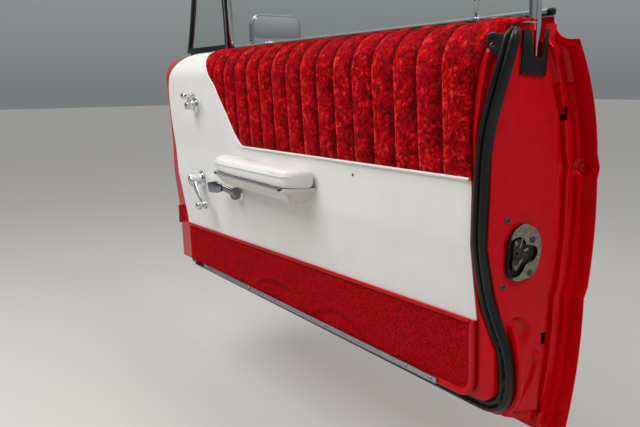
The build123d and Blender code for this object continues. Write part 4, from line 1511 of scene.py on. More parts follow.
def around(corners: Sequence[Pair], count: int) -> list[Pair]:
    """Spaces points evenly in turn round a closed outline's middle.

    Args:
        corners: Corners of the outline, which its middle sees.
        count: Points to return.

    Returns:
        The points, from the first direction round.
    """
    middle = np.mean(np.array(corners), axis=0)
    ring = np.array(list(corners) + [corners[0]])
    steps = [
        start + (end - start) * share
        for start, end in zip(ring, ring[1:])
        for share in np.linspace(0, 1, 30)
    ]
    turns = np.array([math.atan2(p[1] - middle[1], p[0] - middle[0]) for p in steps])
    reach = np.array([np.hypot(*(p - middle)) for p in steps])
    order = np.argsort(turns)
    wanted = np.linspace(-math.pi, math.pi, count, endpoint=False)
    reaches = np.interp(wanted, turns[order], reach[order], period=2 * math.pi)
    for _ in range(2):
        reaches = (reaches * 2 + np.roll(reaches, 1) + np.roll(reaches, -1)) / 4
    return [
        (middle[0] + reach * math.cos(turn), middle[1] + reach * math.sin(turn))
        for reach, turn in zip(reaches, wanted)
    ]


def holed_plate(
    name: str,
    outer: Sequence[Pair],
    inner: Sequence[Pair],
    thickness: float,
    placing: Matrix,
    count: int = 48,
) -> Piece:
    """Makes a plate with one hole from two outlines, in millimetres.

    Args:
        name: The piece's name.
        outer: Corners of the plate.
        inner: Corners of the hole.
        thickness: The plate's thickness.
        placing: The frame of its seat, its third axis outwards.
        count: Points round each outline.

    Returns:
        The closed, rounded plate.
    """
    loops = [(around(outer, count), 0.0), (around(outer, count), thickness)]
    loops += [(around(inner, count), thickness), (around(inner, count), 0.0)]
    points = [placing @ Vector((x * MM, y * MM, z * MM)) for loop, z in loops for x, y in loop]
    # the last ring is the first one again, so that the plate closes round its hole
    faces = ring_faces(len(loops) + 1, count)
    faces = [tuple(point % len(points) for point in face) for face in faces]
    piece = mesh_piece(name, points, faces)
    facing_out(piece)
    rounded(piece, min(1.4, thickness * 0.35), 3)
    return piece


@dataclass
class ShutFace:
    """The leaning shut face and what stands on it: the latch with its works, and the screws."""

    lean: float = 13.0
    width: float = 118.0
    start: float = 11.0
    reach: float = 36.0
    latch: Pair = (71.0, 229.0)
    latch_proud: float = 6.4
    # outwards, up and off-seat limits of the latch plate's nearly black faces, in millimetres
    dark_faces: Point = (-24.0, 24.0, 4.6)

    SCREWS: ClassVar[tuple[Point, ...]] = (
        # (depth, height, head's radius)
        (40.0, 279.0, 5.2),
        (35.0, 176.0, 5.2),
        (104.0, 229.0, 2.6),
    )
    LEVERS: ClassVar[tuple[tuple[float, ...], ...]] = (
        # (outwards, up, length, turn in degrees)
        (-7, 14, 16, 70),
        (-10, -18, 18, 50),
        (3, 2, 9, 20),
    )
    RIVETS: ClassVar[tuple[tuple[float, ...], ...]] = (
        # (outwards, up, head's radius, seat off the face)
        (14, 17, 5.4, 6.6),
        (11, -35, 5.4, 6.6),
        (-17, 14, 3.2, 4.0),
        (-16, -24, 3.4, 4.0),
    )

    def along(self, depth: float) -> float:
        """Where the leaning face stands along the door at a depth."""
        return self.reach + self.lean * (depth - self.start) / self.width

    def placing(self, depth: float, height: float, lift: float = 0.0) -> Matrix:
        """The frame of a spot on the shut face, its third axis to the rear and its first outwards.

        Args:
            depth: Distance outwards from the flat of the trim.
            height: Height above the trim's lower edge line.
            lift: Distance off the face.

        Returns:
            The frame.
        """
        outwards = Vector((self.lean, self.width, 0)).normalized()
        normal = Vector((outwards.y, -outwards.x, 0))
        origin = DATUM.at(self.along(depth), depth, height) + normal * lift * MM
        return Matrix.Translation(origin) @ Matrix((outwards, UP, normal)).transposed().to_4x4()

    def build(self) -> None:
        """Makes the latch and the fasteners."""
        self.build_latch()
        for index, (depth, height, size) in enumerate(self.SCREWS):
            rings = [(size, -2.0), (size, 0.4), (size * 0.86, 1.3), (size * 0.45, 1.7),
                     (size * 0.36, 0.4)]
            placing = self.placing(depth, height, 0.3)
            dress(turned(f"shut_face_screw_{index + 1}", rings, placing, 20), PHOSPHATE)

    def build_latch(self) -> None:
        """Makes the latch plate with its open mouth, and what shows in it."""
        outer = [(-2, 44.5), (20, 35), (31, 20), (33, -2), (27, -28), (14, -42), (-14, -46),
                 (-29, -39), (-34, -25), (-33, 17), (-21, 36)]
        mouth = [(-32, 18), (-14, 25), (0, 20), (-1, 11), (12, 9), (24, 5), (26, -6), (18, -17),
                 (8, -18), (1, -23), (-5, -33), (-14, -40), (-27.5, -37), (-32.6, -25), (-33, -6)]
        placing = self.placing(*self.latch, 0.3)
        plate = holed_plate("latch_cover", outer, mouth, self.latch_proud, placing, 72)
        dress(plate, ZINC, angle=50, replaces=["latch_plate"])
        plate.data.materials.append(DARK_LATCH_STEEL.material())
        inward = placing.inverted()
        inner, upper, deep = (limit * MM for limit in self.dark_faces)
        # the cabin-side rim below the top, and every face near the seat, take the nearly black steel
        for face in plate.data.polygons:
            spot = inward @ face.center
            if spot.x < inner and spot.y < upper or spot.z < deep:
                face.material_index = 1
        self.build_well(placing, around(mouth, 48))
        self.build_works(placing)

    @staticmethod
    def build_well(placing: Matrix, well: Sequence[Pair]) -> None:
        """Makes the dark tray behind the latch's mouth.

        Args:
            placing: The latch's frame.
            well: The mouth's outline.
        """
        rim = [placing @ Vector((x * 1.02 * MM, y * 1.02 * MM, 0.6 * MM)) for x, y in well]
        floor = [placing @ Vector((x * 0.9 * MM, y * 0.9 * MM, 0.1 * MM)) for x, y in well]
        faces = ring_faces(2, len(well)) + [tuple(range(len(well), 2 * len(well)))]
        tray = mesh_piece("latch_well", rim + floor, faces)
        apply_modifier(tray, "SOLIDIFY", thickness=0.3 * MM, offset=-1.0)
        dress(tray, DARK_LATCH_STEEL, angle=40)

    def build_works(self, placing: Matrix) -> None:
        """Makes the latch's fork, levers and rivets.

        Args:
            placing: The latch's frame.
        """
        fork = holed_plate(
            "latch_fork",
            [(-20, 18), (-6, 21), (0, 14), (-6, 7), (-4, 0), (7, -4), (6, -14), (-6, -20),
             (-14, -32), (-24, -28), (-22, -6)],
            [(x - 14, y - 3) for x, y in round_profile(6, 6, 8)],
            3.0,
            placing @ Matrix.Translation((0, 0, 1.2 * MM)),
        )
        dress(fork, WORN, angle=50, replaces=["latch_rotor"])
        for index, (out, up, long, turn) in enumerate(self.LEVERS):
            spot = placing @ Matrix.Translation((out * MM, up * MM, 4.4 * MM))
            spot = spot @ Matrix.Rotation(math.radians(turn), 4, "Z")
            dress(block(f"latch_lever_{index + 1}", (long, 3.2, 2.4), spot, 0.9), ZINC)
        for index, (out, up, size, lift) in enumerate(self.RIVETS):
            spot = placing @ Matrix.Translation((out * MM, up * MM, lift * MM))
            rings = [(size, -1.0), (size, 0.5), (size * 0.86, 0.9), (size * 0.7, 0.3),
                     (size * 0.6, 1.2), (size * 0.2, 1.3)]
            rivet = turned(f"latch_rivet_{index + 1}", rings, spot, 20)
            dress(rivet, PHOSPHATE if index < 2 else ZINC)


@dataclass
class Armrest:
    """Padded armrest with a bright strip and a moulded base."""

    front: float = -836.0
    rear: float = -425.0
    reach: float = 72.0
    top: float = 318.0
    thick: float = 30.0
    front_cut: float = 62.0
    rear_cut: float = 26.0
    slope: float = 9.0
    taper: float = 0.006
    taper_reach: float = 24.0
    pull: float = -474.0
    pull_drop: float = 26.0
    pull_lift: float = 9.0
    cut_back: float = 16.0
    cut_start: float = -470.0
    front_square: float = 0.42
    rear_square: float = 0.22
    waist: float = 13.0
    waist_start: float = -676.0
    waist_slant: float = 0.9
    waist_depth: float = -36.0
    waist_end: float = -560.0
    steps: int = 96
    levels: int = 12
    voxel: float = 4.5
    edge_round: float = 11.0
    seam_drop: float = 11.0
    stiffness: float = 20.0
    movement: float = 5.0

    def outline(self, turn: float) -> Pair:
        """Outline of the pad seen from above.

        Args:
            turn: Turn round its middle, in radians.

        Returns:
            Place along the door, and depth.
        """
        square = self.front_square if math.cos(turn) < 0 else self.rear_square
        along = math.copysign(abs(math.cos(turn)) ** square, math.cos(turn))
        out = math.copysign(abs(math.sin(turn)) ** square, math.sin(turn))
        depth = -self.reach * (0.5 + 0.5 * out) - 0.4
        share = -depth / self.reach
        low = self.front + self.front_cut * share**1.5
        high = self.rear + 5.0 - self.rear_cut * share**1.5
        return low + (high - low) * (0.5 + 0.5 * along), depth

    def sag(self, along: float) -> float:
        """How far the armrest's foot falls towards its rear end, in millimetres."""
        return self.slope * min(max((along - self.front) / (self.rear - self.front), 0.0), 1.0)

    def hang(self, node: str) -> None:
        """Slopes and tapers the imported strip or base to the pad's foot.

        Args:
            node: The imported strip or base.
        """
        piece = bpy.data.objects[f"{node}_formed"]
        foot = self.top - self.thick - 7.0
        for vertex in piece.data.vertices:
            along = (vertex.co.x - DATUM.rear) / MM
            depth = (vertex.co.y - DATUM.cabin) / MM
            below = foot - (vertex.co.z - DATUM.sill) / MM
            if node == "armrest_base" and below > 1:  # the base narrows towards its foot
                share = 1 - self.taper * min(below, self.taper_reach)
                vertex.co.y = DATUM.cabin + depth * share * MM
            if node == "armrest_base" and below > self.pull_drop:  # the pull is short and shallow
                vertex.co.x = DATUM.rear + (along + (self.pull - along) * 0.25) * MM
                vertex.co.z += self.pull_lift * MM
            if node == "armrest_base" and below > 3:  # the rear end is cut back under the strip
                vertex.co.x -= self.cut_back * smooth((along - self.cut_start) / 30.0) * MM
            vertex.co.z -= self.sag(along) * MM

    def build(self) -> None:
        """Fits the strip and the base to the pad's slope, and makes the pad and its fixings."""
        self.hang("armrest_strip")
        self.hang("armrest_base")
        strip = bpy.data.objects["armrest_strip_formed"]
        strip.data.materials.append(WHITE_PLASTIC.material())
        for face in strip.data.polygons:
            if face.center.x > DATUM.rear + (self.rear - 30.0) * MM:
                face.material_index = 1
        pad = self.build_pad()
        dress(pad, WHITE_VINYL, angle=80, replaces=["armrest_pad"])
        self.build_stitching()
        for index, along in enumerate((self.front + 76, self.rear - 36)):
            height = self.top - self.thick - 3.5 - self.sag(along)
            spot = DATUM.at(along, -self.reach + 2.6, height)
            rings = [(2.9, -1.0), (2.9, 0.8), (2.2, 1.4), (1.0, 0.6)]
            cap = turned(f"armrest_strip_rivet_{index + 1}", rings, axes(spot, CABINWARD), 16)
            dress(cap, PHOSPHATE)

    def build_pad(self) -> Piece:
        """Makes the pad: a crowned closed form with a scooped waist by the trim.

        Returns:
            The pad.
        """
        low, high = self.top - self.thick, self.top
        steps, levels = self.steps, self.levels
        rings: list[list[Vector]] = []
        for level in range(levels + 1):
            turn = math.pi / 2 * (2 * level / levels - 1)
            shrink = abs(math.cos(turn)) ** 0.45
            swell = math.copysign(abs(math.sin(turn)) ** 0.7, math.sin(turn))
            height = low + (high - low) * (0.5 + 0.5 * swell)
            inset = self.edge_round * (1 - shrink) + 1.0
            ring = []
            for step in range(steps):
                along, depth = self.outline(2 * math.pi * step / steps)
                middle, centre = (self.front + self.rear) / 2, -self.reach / 2
                along += math.copysign(min(inset, abs(along - middle)), middle - along)
                depth += math.copysign(min(inset, abs(depth - centre)), centre - depth)
                drop = self.sag(along) * (high - height) / (high - low)
                ring.append(DATUM.at(along, depth, height - drop))
            rings.append(ring)
        points = [p for ring in rings for p in ring]
        faces = ring_faces(levels + 1, steps)
        faces += [tuple(range(steps)), tuple(levels * steps + s for s in range(steps))]
        pad = mesh_piece("armrest_cushion", points, faces)
        facing_out(pad)
        apply_modifier(pad, "REMESH", mode="VOXEL", voxel_size=self.voxel * MM)
        base = DATUM.sill + (self.top - self.thick + 6.0) * MM
        wall = DATUM.cabin - 6.0 * MM
        held = [v.index for v in pad.data.vertices if v.co.z < base or v.co.y > wall]
        inflate(pad, held, self.stiffness, self.movement, 0.5)
        for vertex in pad.data.vertices:
            self.scoop(vertex)
        apply_modifier(pad, "SMOOTH", factor=0.6, iterations=3)
        apply_modifier(pad, "SUBSURF", levels=1)
        return pad

    def scoop(self, vertex: bpy.types.MeshVertex) -> None:
        """Sinks the band behind the pad's front lobe, by the trim.

        Args:
            vertex: A point of the pad.
        """
        along = (vertex.co.x - DATUM.rear) / MM
        depth = (vertex.co.y - DATUM.cabin) / MM
        height = (vertex.co.z - DATUM.sill) / MM
        if height < self.top - self.thick / 2:
            return
        lobe = smooth((along - self.waist_start + self.waist_slant * (depth + 30)) / 6)
        near = smooth((depth - self.waist_depth) / 10)
        rearwards = 1 - 0.8 * smooth((along - self.waist_end) / 110)
        vertex.co.z -= self.waist * MM * lobe * near * rearwards

    def build_stitching(self) -> None:
        """Makes the sewn ridge round the pad's side, under its top."""
        path = []
        for step in range(97):
            turn = math.pi * (0.03 + 0.94 * step / 96)
            along, depth = self.outline(turn)
            height = self.top - self.seam_drop - 0.3 * self.sag(along)
            path.append(DATUM.at(along, depth - 0.2, height))
        path = spread(path, PATH_STEP)
        middle = DATUM.at((self.front + self.rear) / 2, 0, self.top - 12.5)
        ridge = swept("armrest_seam", path, lambda s: (s - middle), round_profile(1.8, 1.8, 8))
        dress(ridge, WHITE_VINYL, angle=80)


@dataclass
class Handles:
    """Window crank, vent crank and inside handle with their escutcheons, and the lock knob."""

    window: Pair = (-992.0, 240.0)
    window_arm: Pair = (52.0, -62.0)
    vent: Pair = (-1002.0, 436.0)
    vent_arm: Pair = (34.0, 27.0)
    latch: Pair = (-774.0, 227.0)
    knob: Pair = (-60.0, 64.0)

    @staticmethod
    def placing(spot: Pair) -> Matrix:
        """A frame on the trim's face, its third axis into the cabin and its first to the latch.

        Args:
            spot: Place along the door, and height.

        Returns:
            The frame.
        """
        along, height = spot
        run = SECTION.run_at(height)
        normal = SECTION.normal(run)
        turn = Matrix((REARWARD, normal.cross(REARWARD), normal)).transposed().to_4x4()
        return Matrix.Translation(on_trim(along, run)) @ turn

    def bar(self, name: str, placing: Matrix, ends: Sequence[tuple[float, ...]]) -> Piece:
        """Makes a tapered arm.

        Args:
            name: The piece's name.
            placing: The frame that its places are in.
            ends: Along, up, lift and width at each station, in millimetres.

        Returns:
            The rounded arm.
        """
        path = [placing @ Vector((a * MM, u * MM, l * MM)) for a, u, l, _ in ends]
        normal = placing.to_3x3() @ UP
        widest = max(end[3] for end in ends)
        profile = flat_profile(widest / 2, 4.0, 1.8, widest * 0.3, 4.4)
        piece = swept(name, path, lambda s: normal, profile, [end[3] / widest for end in ends])
        rounded(piece, 1.2, 3, 25)
        return piece

    def build(self) -> None:
        """Makes all the handles."""
        self.build_window_crank()
        self.build_vent_crank()
        self.build_inside_handle()
        self.build_lock_knob()

    def escutcheon(self, node: str, spot: Pair, radius: float, squeeze: float = 1.0) -> None:
        """Makes a domed escutcheon with a stepped rim.

        Args:
            node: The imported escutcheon, which it replaces.
            spot: Place along the door, and height.
            radius: The rim's radius, in millimetres.
            squeeze: Width against height.
        """
        rings = [(radius, 0.3), (radius, 2.0), (radius * 0.93, 3.4), (radius * 0.86, 3.6),
                 (radius * 0.74, 6.4), (radius * 0.5, 8.6), (radius * 0.2, 9.2)]
        placing = self.placing(spot) @ Matrix.Diagonal((squeeze, 1.0, 1.0, 1.0))
        piece = turned(f"{node}_dome", rings, placing, 56)
        dress(piece, CHROME, angle=40, replaces=[node])

    def build_window_crank(self) -> None:
        """Makes the window crank: square hub, tapered arm, boss and domed knob."""
        self.escutcheon("window_crank_escutcheon", self.window, 21.0)
        placing = self.placing(self.window)
        along, up = self.window_arm
        turn = Matrix.Rotation(math.atan2(up, along), 4, "Z")
        square = placing @ Matrix.Translation((0, 0, 22.5 * MM)) @ turn
        hub = block("hub", (27, 25, 31), square, 4.0)
        arm = self.bar("arm", placing, [(0, 0, 26, 22), (along * 0.3, up * 0.3, 29, 21),
                                        (along * 0.75, up * 0.75, 29, 15), (along, up, 28, 14)])
        rings = [(9.6, 24.0), (10.4, 26.0), (10.4, 33.0), (9.0, 36.0), (5.4, 37.5), (5.2, 40.0),
                 (9.0, 42.5), (11.2, 46.0), (11.2, 50.0), (9.6, 53.5), (5.6, 55.4), (1.5, 56.0)]
        end = placing @ Matrix.Translation((along * MM, up * MM, -8 * MM))
        crank = joined("window_crank_arm", [hub, arm, turned("knob", rings, end, 40)])
        dress(crank, CHROME, angle=40, replaces=["window_crank"])

    def build_vent_crank(self) -> None:
        """Makes the vent crank: stepped boss, short arm and long knob."""
        self.escutcheon("vent_crank_escutcheon", self.vent, 24.0, 0.82)
        placing = self.placing(self.vent)
        along, up = self.vent_arm
        steps = [(13, 6), (13, 13), (11, 15), (11, 24), (9.4, 28), (5, 30)]
        boss = turned("boss", steps, placing, 40)
        arm = self.bar("arm", placing, [(0, 0, 22, 17), (along * 0.6, up * 0.6, 25, 12),
                                        (along, up, 26, 11)])
        rings = [(6.5, 21), (7.4, 24), (7.4, 28), (5.2, 31), (5.4, 36), (8.4, 40), (9.0, 50),
                 (8.0, 56), (4.5, 58.6), (1.2, 59.2)]
        end = placing @ Matrix.Translation((along * MM, up * MM, -6 * MM))
        crank = joined("vent_crank_arm", [boss, arm, turned("knob", rings, end, 40)])
        dress(crank, CHROME, angle=40, replaces=["vent_crank"])

    def build_inside_handle(self) -> None:
        """Makes the inside handle: round boss, cranked lever and flat paddle."""
        self.escutcheon("inside_handle_escutcheon", self.latch, 18.0)
        placing = self.placing(self.latch)
        steps = [(15, 7), (15, 19), (13.5, 21.5), (9, 22), (8, 18.5), (2, 18.5)]
        boss = turned("boss", steps, placing, 40)
        lever = self.bar("lever", placing, [(4, -2, 15, 20), (-20, 8, 21, 16), (-42, 17, 31, 18)])
        flat = [(-34, 15, 32, 20), (-52, 16, 37, 30), (-92, 11, 39, 26)]
        paddle = self.bar("paddle", placing, flat)
        handle = joined("inside_handle_lever", [boss, lever, paddle])
        # the handle's chrome is painted darker, as painted shade and dark painted reflections under
        # the armrest
        dress(handle, SHADED_CHROME, angle=40, replaces=["inside_handle"])

    def build_lock_knob(self) -> None:
        """Makes the lock knob and the ferrule that it slides in."""
        along, depth = self.knob
        placing = axes(DATUM.at(along, depth, SECTION.top), UP, Vector((0, 1, 0)))
        rings = [(8.5, 5.0), (8.5, 9.0), (6.8, 10.2), (3.4, 10.4), (3.2, 30.0), (4.4, 33.0),
                 (5.0, 38.0), (4.6, 40.6), (2.4, 41.8)]
        knob = turned("lock_knob_stem", rings, placing, 28)
        dress(knob, CHROME, angle=40, replaces=["lock_knob"])


@dataclass
class Fittings:
    """Small trim that the photograph shows and the solids leave out."""

    def build(self) -> None:
        """Makes the hinge bolts, the moulding's cap, the channel's tail and the post's rubber."""
        self.build_hinge_bolts()
        self.build_end_cap()
        self.build_channel_tail()
        self.build_post_channel()

    def build_hinge_bolts(self) -> None:
        """Puts hexagon bolts through each hinge's door leaf."""
        rings = [(8.2, 0.0), (8.2, 1.2), (6.6, 1.3), (6.6, 5.8), (5.8, 6.6)]
        for place in ("lower", "upper"):
            low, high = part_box(f"hinge_{place}_door_leaf")
            face = high.x - 5.0 * MM
            middle = (low.z + high.z) / 2
            for index, (out, up) in enumerate(((22.0, 15.0), (22.0, -15.0), (54.0, 0.0))):
                spot = Vector((face, low.y + out * MM, middle + up * MM))
                bolt = turned(f"{place}_hinge_bolt_{index + 1}", rings, axes(spot, -REARWARD), 6)
                dress(bolt, HINGE_PAINT, angle=20)

    def build_end_cap(self) -> None:
        """Makes the black cap at the rear end of the belt moulding."""
        low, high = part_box("outer_belt_moulding")
        spot = Vector((high.x - 3 * MM, low.y + 5.0 * MM, (low.z + high.z) / 2 + 0.5 * MM))
        cap = block("belt_moulding_cap", (14, 8.5, 11), Matrix.Translation(spot), 3.6)
        dress(cap, RUBBER)

    def build_channel_tail(self) -> None:
        """Makes the bright glass channel's tail, narrowed and bent down behind the velvet."""
        corners = ((45.0, 84.0, 604.0), (45.5, 83.0, 560.0), (47.0, 79.0, 521.0))
        path = spread(eased([DATUM.at(*corner) for corner in corners], [0.016]), 0.005)
        flat = flat_profile(4.5, 1.5, 0.9, 3.2, 1.7)
        sizes = list(np.interp(np.linspace(0, 1, len(path)), (0, 0.45, 1), (1.0, 1.0, 0.4)))
        tail = swept("glass_channel_tail", path, lambda s: REARWARD, flat, sizes)
        dress(tail, CHROME, angle=50)

    def build_post_channel(self) -> None:
        """Makes the black rubber channel on the division post's rear half."""
        points = [v.co.copy() for v in frame["nodes"]["division_post"].data.vertices]
        top, foot = max(p.z for p in points), min(p.z for p in points)
        ends = []
        for level in (foot, top):
            ring = [p for p in points if abs(p.z - level) < 2 * MM]
            ends.append(Vector((max(p.x for p in ring), min(p.y for p in ring), level)))
        shift = Vector((-4.5 * MM, 0.0, 0.0))
        path = [ends[0].lerp(ends[1], share) + shift for share in np.linspace(0.02, 0.99, 30)]
        path = [spot + Vector((0, self.bow(spot, points), 0)) for spot in path]
        flat = flat_profile(4.6, 2.0, 1.2, 3.4, 2.4)
        dress(swept("post_channel", path, lambda s: CABINWARD, flat), RUBBER, angle=50)

    @staticmethod
    def bow(spot: Vector, points: Sequence[Vector]) -> float:
        """How far outwards the post's cabin face lies from a point between its ends, in metres."""
        near = sorted(points, key=lambda p: abs(p.z - spot.z) + 0.4 * abs(p.x - spot.x))[:6]
        return min(p.y for p in near) - spot.y


@dataclass
class ShutPress:
    """Pressed forms of the shut face: below the latch, at the crease and up to the shelf."""

    depths: Pair = (56.0, 116.0)
    heights: Pair = (-60.0, 132.0)
    border: float = 5.0
    hollow: float = 6.5
    hollow_middle: Pair = (63.0, 96.0)
    hollow_reach: Pair = (27.0, 24.0)
    swage: float = 6.0
    swage_heights: tuple[float, ...] = (-60.0, -35.0, -10.0, 10.0, 40.0, 66.0)
    swage_depths: tuple[float, ...] = (44.0, 58.0, 78.0, 94.0, 104.0, 101.0)
    swage_edge: float = 7.0
    scoop: Pair = (172.0, 352.0)
    scoop_radius: float = 15.0
    scoop_depth: float = 7.0
    ridge_start: float = 170.0
    ridge_low: float = 57.0
    ridge_high: float = 65.0
    ridge_heights: Pair = (474.0, 546.0)
    ridge_insets: Pair = (46.0, 3.0)
    ridge_feet: Pair = (37.0, 19.0)
    ridge_fade: float = 16.0
    shoulder: float = 4.0
    lip: float = 0.15

    def build(self) -> None:
        """Cuts the plain places out of the shell's copy and fills them with the pressed forms."""
        shell = bpy.data.objects["inner_shell_formed"]
        (near, away), (low, high) = self.depths, self.heights
        size = (60.0, away - near - 1.0, high - low - 1.0)
        spot = DATUM.at(45.0, (near + away) / 2, (low + high) / 2)
        cutter = block("cutter", size, Matrix.Translation(spot), 0.3, 1)
        for vertex in cutter.data.vertices:
            if vertex.co.z < spot.z:
                depth = (vertex.co.y - DATUM.cabin) / MM
                vertex.co.z = DATUM.sill + (self.foot(depth) + 0.5) * MM
        self.cut(shell, cutter)
        middle = DATUM.at(58.0, *self.scoop)
        rings = [(self.scoop_radius - 1.0, -12.0), (self.scoop_radius - 1.0, 12.0)]
        self.cut(shell, turned("cutter", rings, axes(middle, REARWARD), 32))
        dress(shell, ENAMEL, DOOR, 32, ["inner_shell"])
        for name, columns, rows, place, thickness in (
            ("pressed_shut_face", 60, 150, self.press, 1.6),
            ("crease_scoop", 28, 28, self.bowl, 1.2),
            ("upper_ridges", 44, 30, self.ridge, 1.4),
        ):
            sheet = laid_grid(name, columns, rows, place)
            apply_modifier(sheet, "SOLIDIFY", thickness=thickness * MM, offset=-1.0)
            facing_out(sheet)
            dress(sheet, ENAMEL, angle=60)

    def press(self, u: float, v: float) -> Vector:
        """Point of the pressed face below the latch.

        Args:
            u: Share outwards across the shut face.
            v: Share up.

        Returns:
            The point.
        """
        (near, away), high = self.depths, self.heights[1]
        depth = near + (away - near) * u
        foot = self.foot(depth)
        height = foot + (high - foot) * v
        edge = smooth(min(depth - near, away - depth, height - foot, high - height) / self.border)
        lift = self.form(depth, height) * edge - 0.05
        return ShutFace().placing(depth, height, lift).translation

    def bowl(self, u: float, v: float) -> Vector:
        """Point of the shallow scoop at the crease.

        Args:
            u: Share outwards.
            v: Share up.

        Returns:
            The point.
        """
        x, y = 2 * u - 1, 2 * v - 1
        across, up = x * math.sqrt(1 - y * y / 2), y * math.sqrt(1 - x * x / 2)
        depth = self.scoop[0] + across * self.scoop_radius
        reach = min(math.hypot(across, up), 1.0)
        step = smooth((depth - self.ridge_start + 3) / 6)
        rim = self.ridge_low + (self.ridge_high - self.ridge_low) * step
        sunk = self.scoop_depth * (1 - smooth((reach - 0.1) / 0.85))
        return DATUM.at(rim + self.lip - sunk, depth, self.scoop[1] + up * self.scoop_radius)

    def ridge(self, u: float, v: float) -> Vector:
        """Point of the two upright ridges, carried on from the solid's to the shelf.

        Args:
            u: Share outwards to the skin.
            v: Share up.

        Returns:
            The point.
        """
        low, high = self.ridge_heights
        height = low + (high - low) * v
        widest, narrowest = self.ridge_insets
        inset = widest - (widest - narrowest) * u
        depth = self.skin(height) - inset
        base = ShutFace().along(depth)
        first = smooth((self.ridge_feet[0] - inset) / self.shoulder) * (self.ridge_low - base)
        second = smooth((self.ridge_feet[1] - inset) / self.shoulder)
        second *= self.ridge_high - self.ridge_low
        fade = 1 - smooth((height - high + self.ridge_fade) / self.ridge_fade)
        return DATUM.at(base + (first + second) * fade + self.lip, depth, height)

    @staticmethod
    def skin(height: float) -> float:
        """Depth of the bowed skin over the crease, where it leans 59 mm in over 205 mm."""
        share = (height - 375.0) / 205.0
        return 180.0 - 59.0 * share + 42.0 * share * (1 - share)

    @staticmethod
    def foot(depth: float) -> float:
        """Height where the plain face ends, falling outwards to the skin."""
        return -27.0 - 0.22 * (depth - 30)

    @staticmethod
    def cut(shell: Piece, cutter: Piece) -> None:
        """Cuts a block out of the shell's copy and removes the block."""
        apply_modifier(shell, "BOOLEAN", object=cutter, operation="DIFFERENCE", solver="EXACT")
        bpy.data.objects.remove(cutter)

    def form(self, depth: float, height: float) -> float:
        """The hollow and the raised swage of the pressed face.

        Args:
            depth: Distance outwards from the flat of the trim.
            height: Height above the lower edge line.

        Returns:
            The height off the face, in millimetres.
        """
        (middle_depth, middle_height), (wide, tall) = self.hollow_middle, self.hollow_reach
        bowl = ((depth - middle_depth) / wide) ** 2 + ((height - middle_height) / tall) ** 2
        edge = float(np.interp(height, self.swage_heights, self.swage_depths))
        below = 64 - height - 0.3 * (depth - self.swage_depths[-1])
        raised = smooth((depth - edge) / self.swage_edge + 0.5) * smooth(below / self.swage_edge)
        return self.swage * raised - self.hollow * smooth(1.5 - bowl)


# From the solid to where the photograph shows the mirror's head
MIRROR_SHIFT = Vector((20.0, 8.0, 2.0)) * MM


def dress_nodes() -> None:
    """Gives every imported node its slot's finish, and the pressed and cast ones a smooth copy."""
    by_slot = {finish.slot: finish for finish in FINISHES}
    slots = {part["node"]: part["material_slot"] for part in frame["record"]["subparts"]}
    copied = {
        # node: edge rounding in millimetres
        "outer_skin": 0.5,
        "inner_shell": 1.6,
        "armrest_strip": 0.8,
        "armrest_base": 2.0,
        "outside_handle": 1.5,
        "mirror_head": 1.8,
        "mirror_glass": 0.3,
        "mirror_foot": 1.0,
        "outer_belt_moulding": 0.0,
        "division_post": 1.2,
        "vent_frame": 1.2,
        "glass_filler": 1.0,
        "sill_moulding": 0.25,
        "hinge_lower_door_leaf": 1.0,
        "hinge_upper_door_leaf": 1.0,
        "hinge_lower_pillar_leaf": 1.0,
        "hinge_upper_pillar_leaf": 1.0,
    }
    carried = frame["record"]["behaviour"]["bodies"]
    bodies = {node: body for body, nodes in carried.items() for node in nodes}
    for node, obj in frame["nodes"].items():
        finish = by_slot[slots[node]]
        obj.data.materials.clear()
        obj.data.materials.append(finish.material())
        if node in copied:
            if node == "vent_frame":
                finish = RUBBER
            piece = merged_copy(node, f"{node}_formed")
            if copied[node]:
                rounded(piece, copied[node], 2, 25)
            if node in ("mirror_head", "mirror_glass"):
                piece.data.transform(Matrix.Translation(MIRROR_SHIFT))
            dress(piece, finish, bodies[node], 32, [node])


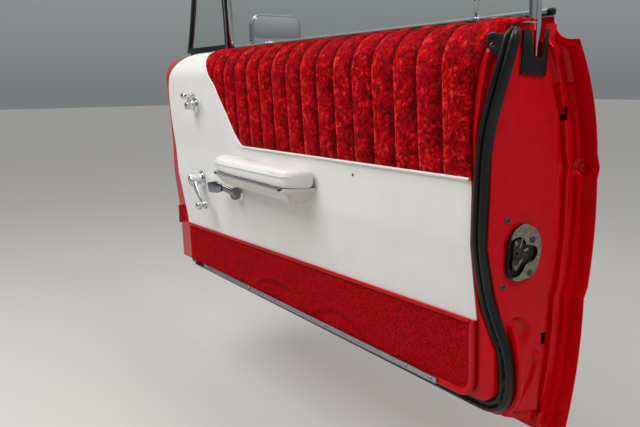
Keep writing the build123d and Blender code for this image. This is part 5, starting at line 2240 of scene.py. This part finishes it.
class Studio:
    """Pale floor, soft light and the camera at the photograph's place."""

    CAMERA = Vector((2.0481, -0.8687, 0.3726))
    YAW, PITCH, ROLL = 0.9918, 0.1809, -0.0121
    LENS, SENSOR = 39.375, 36.0
    FLOOR = -0.47
    EXPOSURE = 0.0

    def build(self) -> None:
        """Makes the floor, the light and the camera."""
        view = bpy.context.scene.view_settings
        view.view_transform = "Standard"
        view.exposure = self.EXPOSURE
        self.build_floor()
        self.build_light()
        self.build_camera()

    def build_floor(self) -> None:
        """Makes the plain pale floor."""
        deselect()
        bpy.ops.mesh.primitive_grid_add(
            x_subdivisions=2, y_subdivisions=2, size=60, location=(0, 0, 0)
        )
        floor = bpy.context.object
        floor.name = "studio_floor"
        floor.data.transform(Matrix.Translation((0, 0, self.FLOOR)))
        material = bpy.data.materials.new("studio floor")
        material.use_nodes = True
        shader = material.node_tree.nodes["Principled BSDF"]
        shader.inputs["Base Color"].default_value = linear("#c9c7c3")
        shader.inputs["Roughness"].default_value = 0.85
        floor.data.materials.append(material)

    def build_light(self) -> None:
        """Makes a pale sky that is brightest overhead, and two soft boxes."""
        world = bpy.data.worlds.new("studio")
        bpy.context.scene.world = world
        world.use_nodes = True
        tree = world.node_tree
        way = add_node(tree, "ShaderNodeTexCoord")
        parts = add_node(tree, "ShaderNodeSeparateXYZ", {"Vector": way.outputs["Generated"]})
        sky = add_node(tree, "ShaderNodeValToRGB", {"Fac": parts.outputs["Z"]})
        sky.color_ramp.elements[0].color = linear("#8e9294")
        sky.color_ramp.elements[1].color = linear("#ffffff")
        sky.color_ramp.elements[1].position = 0.75
        shade = add_node(
            tree, "ShaderNodeMapRange", {"Value": parts.outputs["Y"]},
            {"From Min": -0.9, "From Max": 0.1, "To Min": 0.45, "To Max": 1.0},
        )
        dimmed = add_node(
            tree, "ShaderNodeVectorMath", {0: sky.outputs["Color"], 1: shade.outputs["Result"]},
            operation="MULTIPLY",
        )
        background = tree.nodes["Background"]
        tree.links.new(dimmed.outputs["Vector"], background.inputs["Color"])
        background.inputs["Strength"].default_value = 0.7
        for name, place, aim, size, power in (
            ("overhead box", (0.4, -1.5, 2.3), (0.7, -0.1, 0.1), 1.8, 62.0),
            ("rear box", (2.6, 0.2, 2.0), (1.2, 0.0, 0.1), 0.5, 20.0),
        ):
            light = bpy.data.lights.new(name, "AREA")
            light.size = size
            light.energy = power
            lamp = bpy.data.objects.new(name, light)
            bpy.context.scene.collection.objects.link(lamp)
            lamp.location = place
            lamp.rotation_euler = (Vector(aim) - Vector(place)).to_track_quat("-Z", "Y").to_euler()

    def build_camera(self) -> None:
        """Stands the camera where the photograph was taken."""
        forward = Vector((
            -math.sin(self.YAW) * math.cos(self.PITCH),
            math.cos(self.YAW) * math.cos(self.PITCH),
            -math.sin(self.PITCH),
        ))
        right = Vector((math.cos(self.YAW), math.sin(self.YAW), 0))
        upwards = right.cross(forward)
        tilted = right * math.cos(self.ROLL) + upwards * math.sin(self.ROLL)
        upwards = upwards * math.cos(self.ROLL) - right * math.sin(self.ROLL)
        data = bpy.data.cameras.new("camera")
        data.lens = self.LENS
        data.sensor_width = self.SENSOR
        camera = bpy.data.objects.new("camera", data)
        bpy.context.scene.collection.objects.link(camera)
        placing = Matrix((tilted, upwards, -forward)).transposed().to_4x4()
        placing.translation = self.CAMERA
        camera.matrix_world = placing
        bpy.context.scene.camera = camera


def main() -> None:
    """Builds the door's looks in order."""
    logging.basicConfig(level=logging.INFO, format="%(message)s")
    Studio().build()
    dress_nodes()
    TrimPanel().build()
    VelvetPad().build()
    KickPanel().build()
    Weatherstrip().build()
    ShutPress().build()
    ShutFace().build()
    Armrest().build()
    Handles().build()
    Fittings().build()
    deselect()


if __name__ == "__main__":
    main()
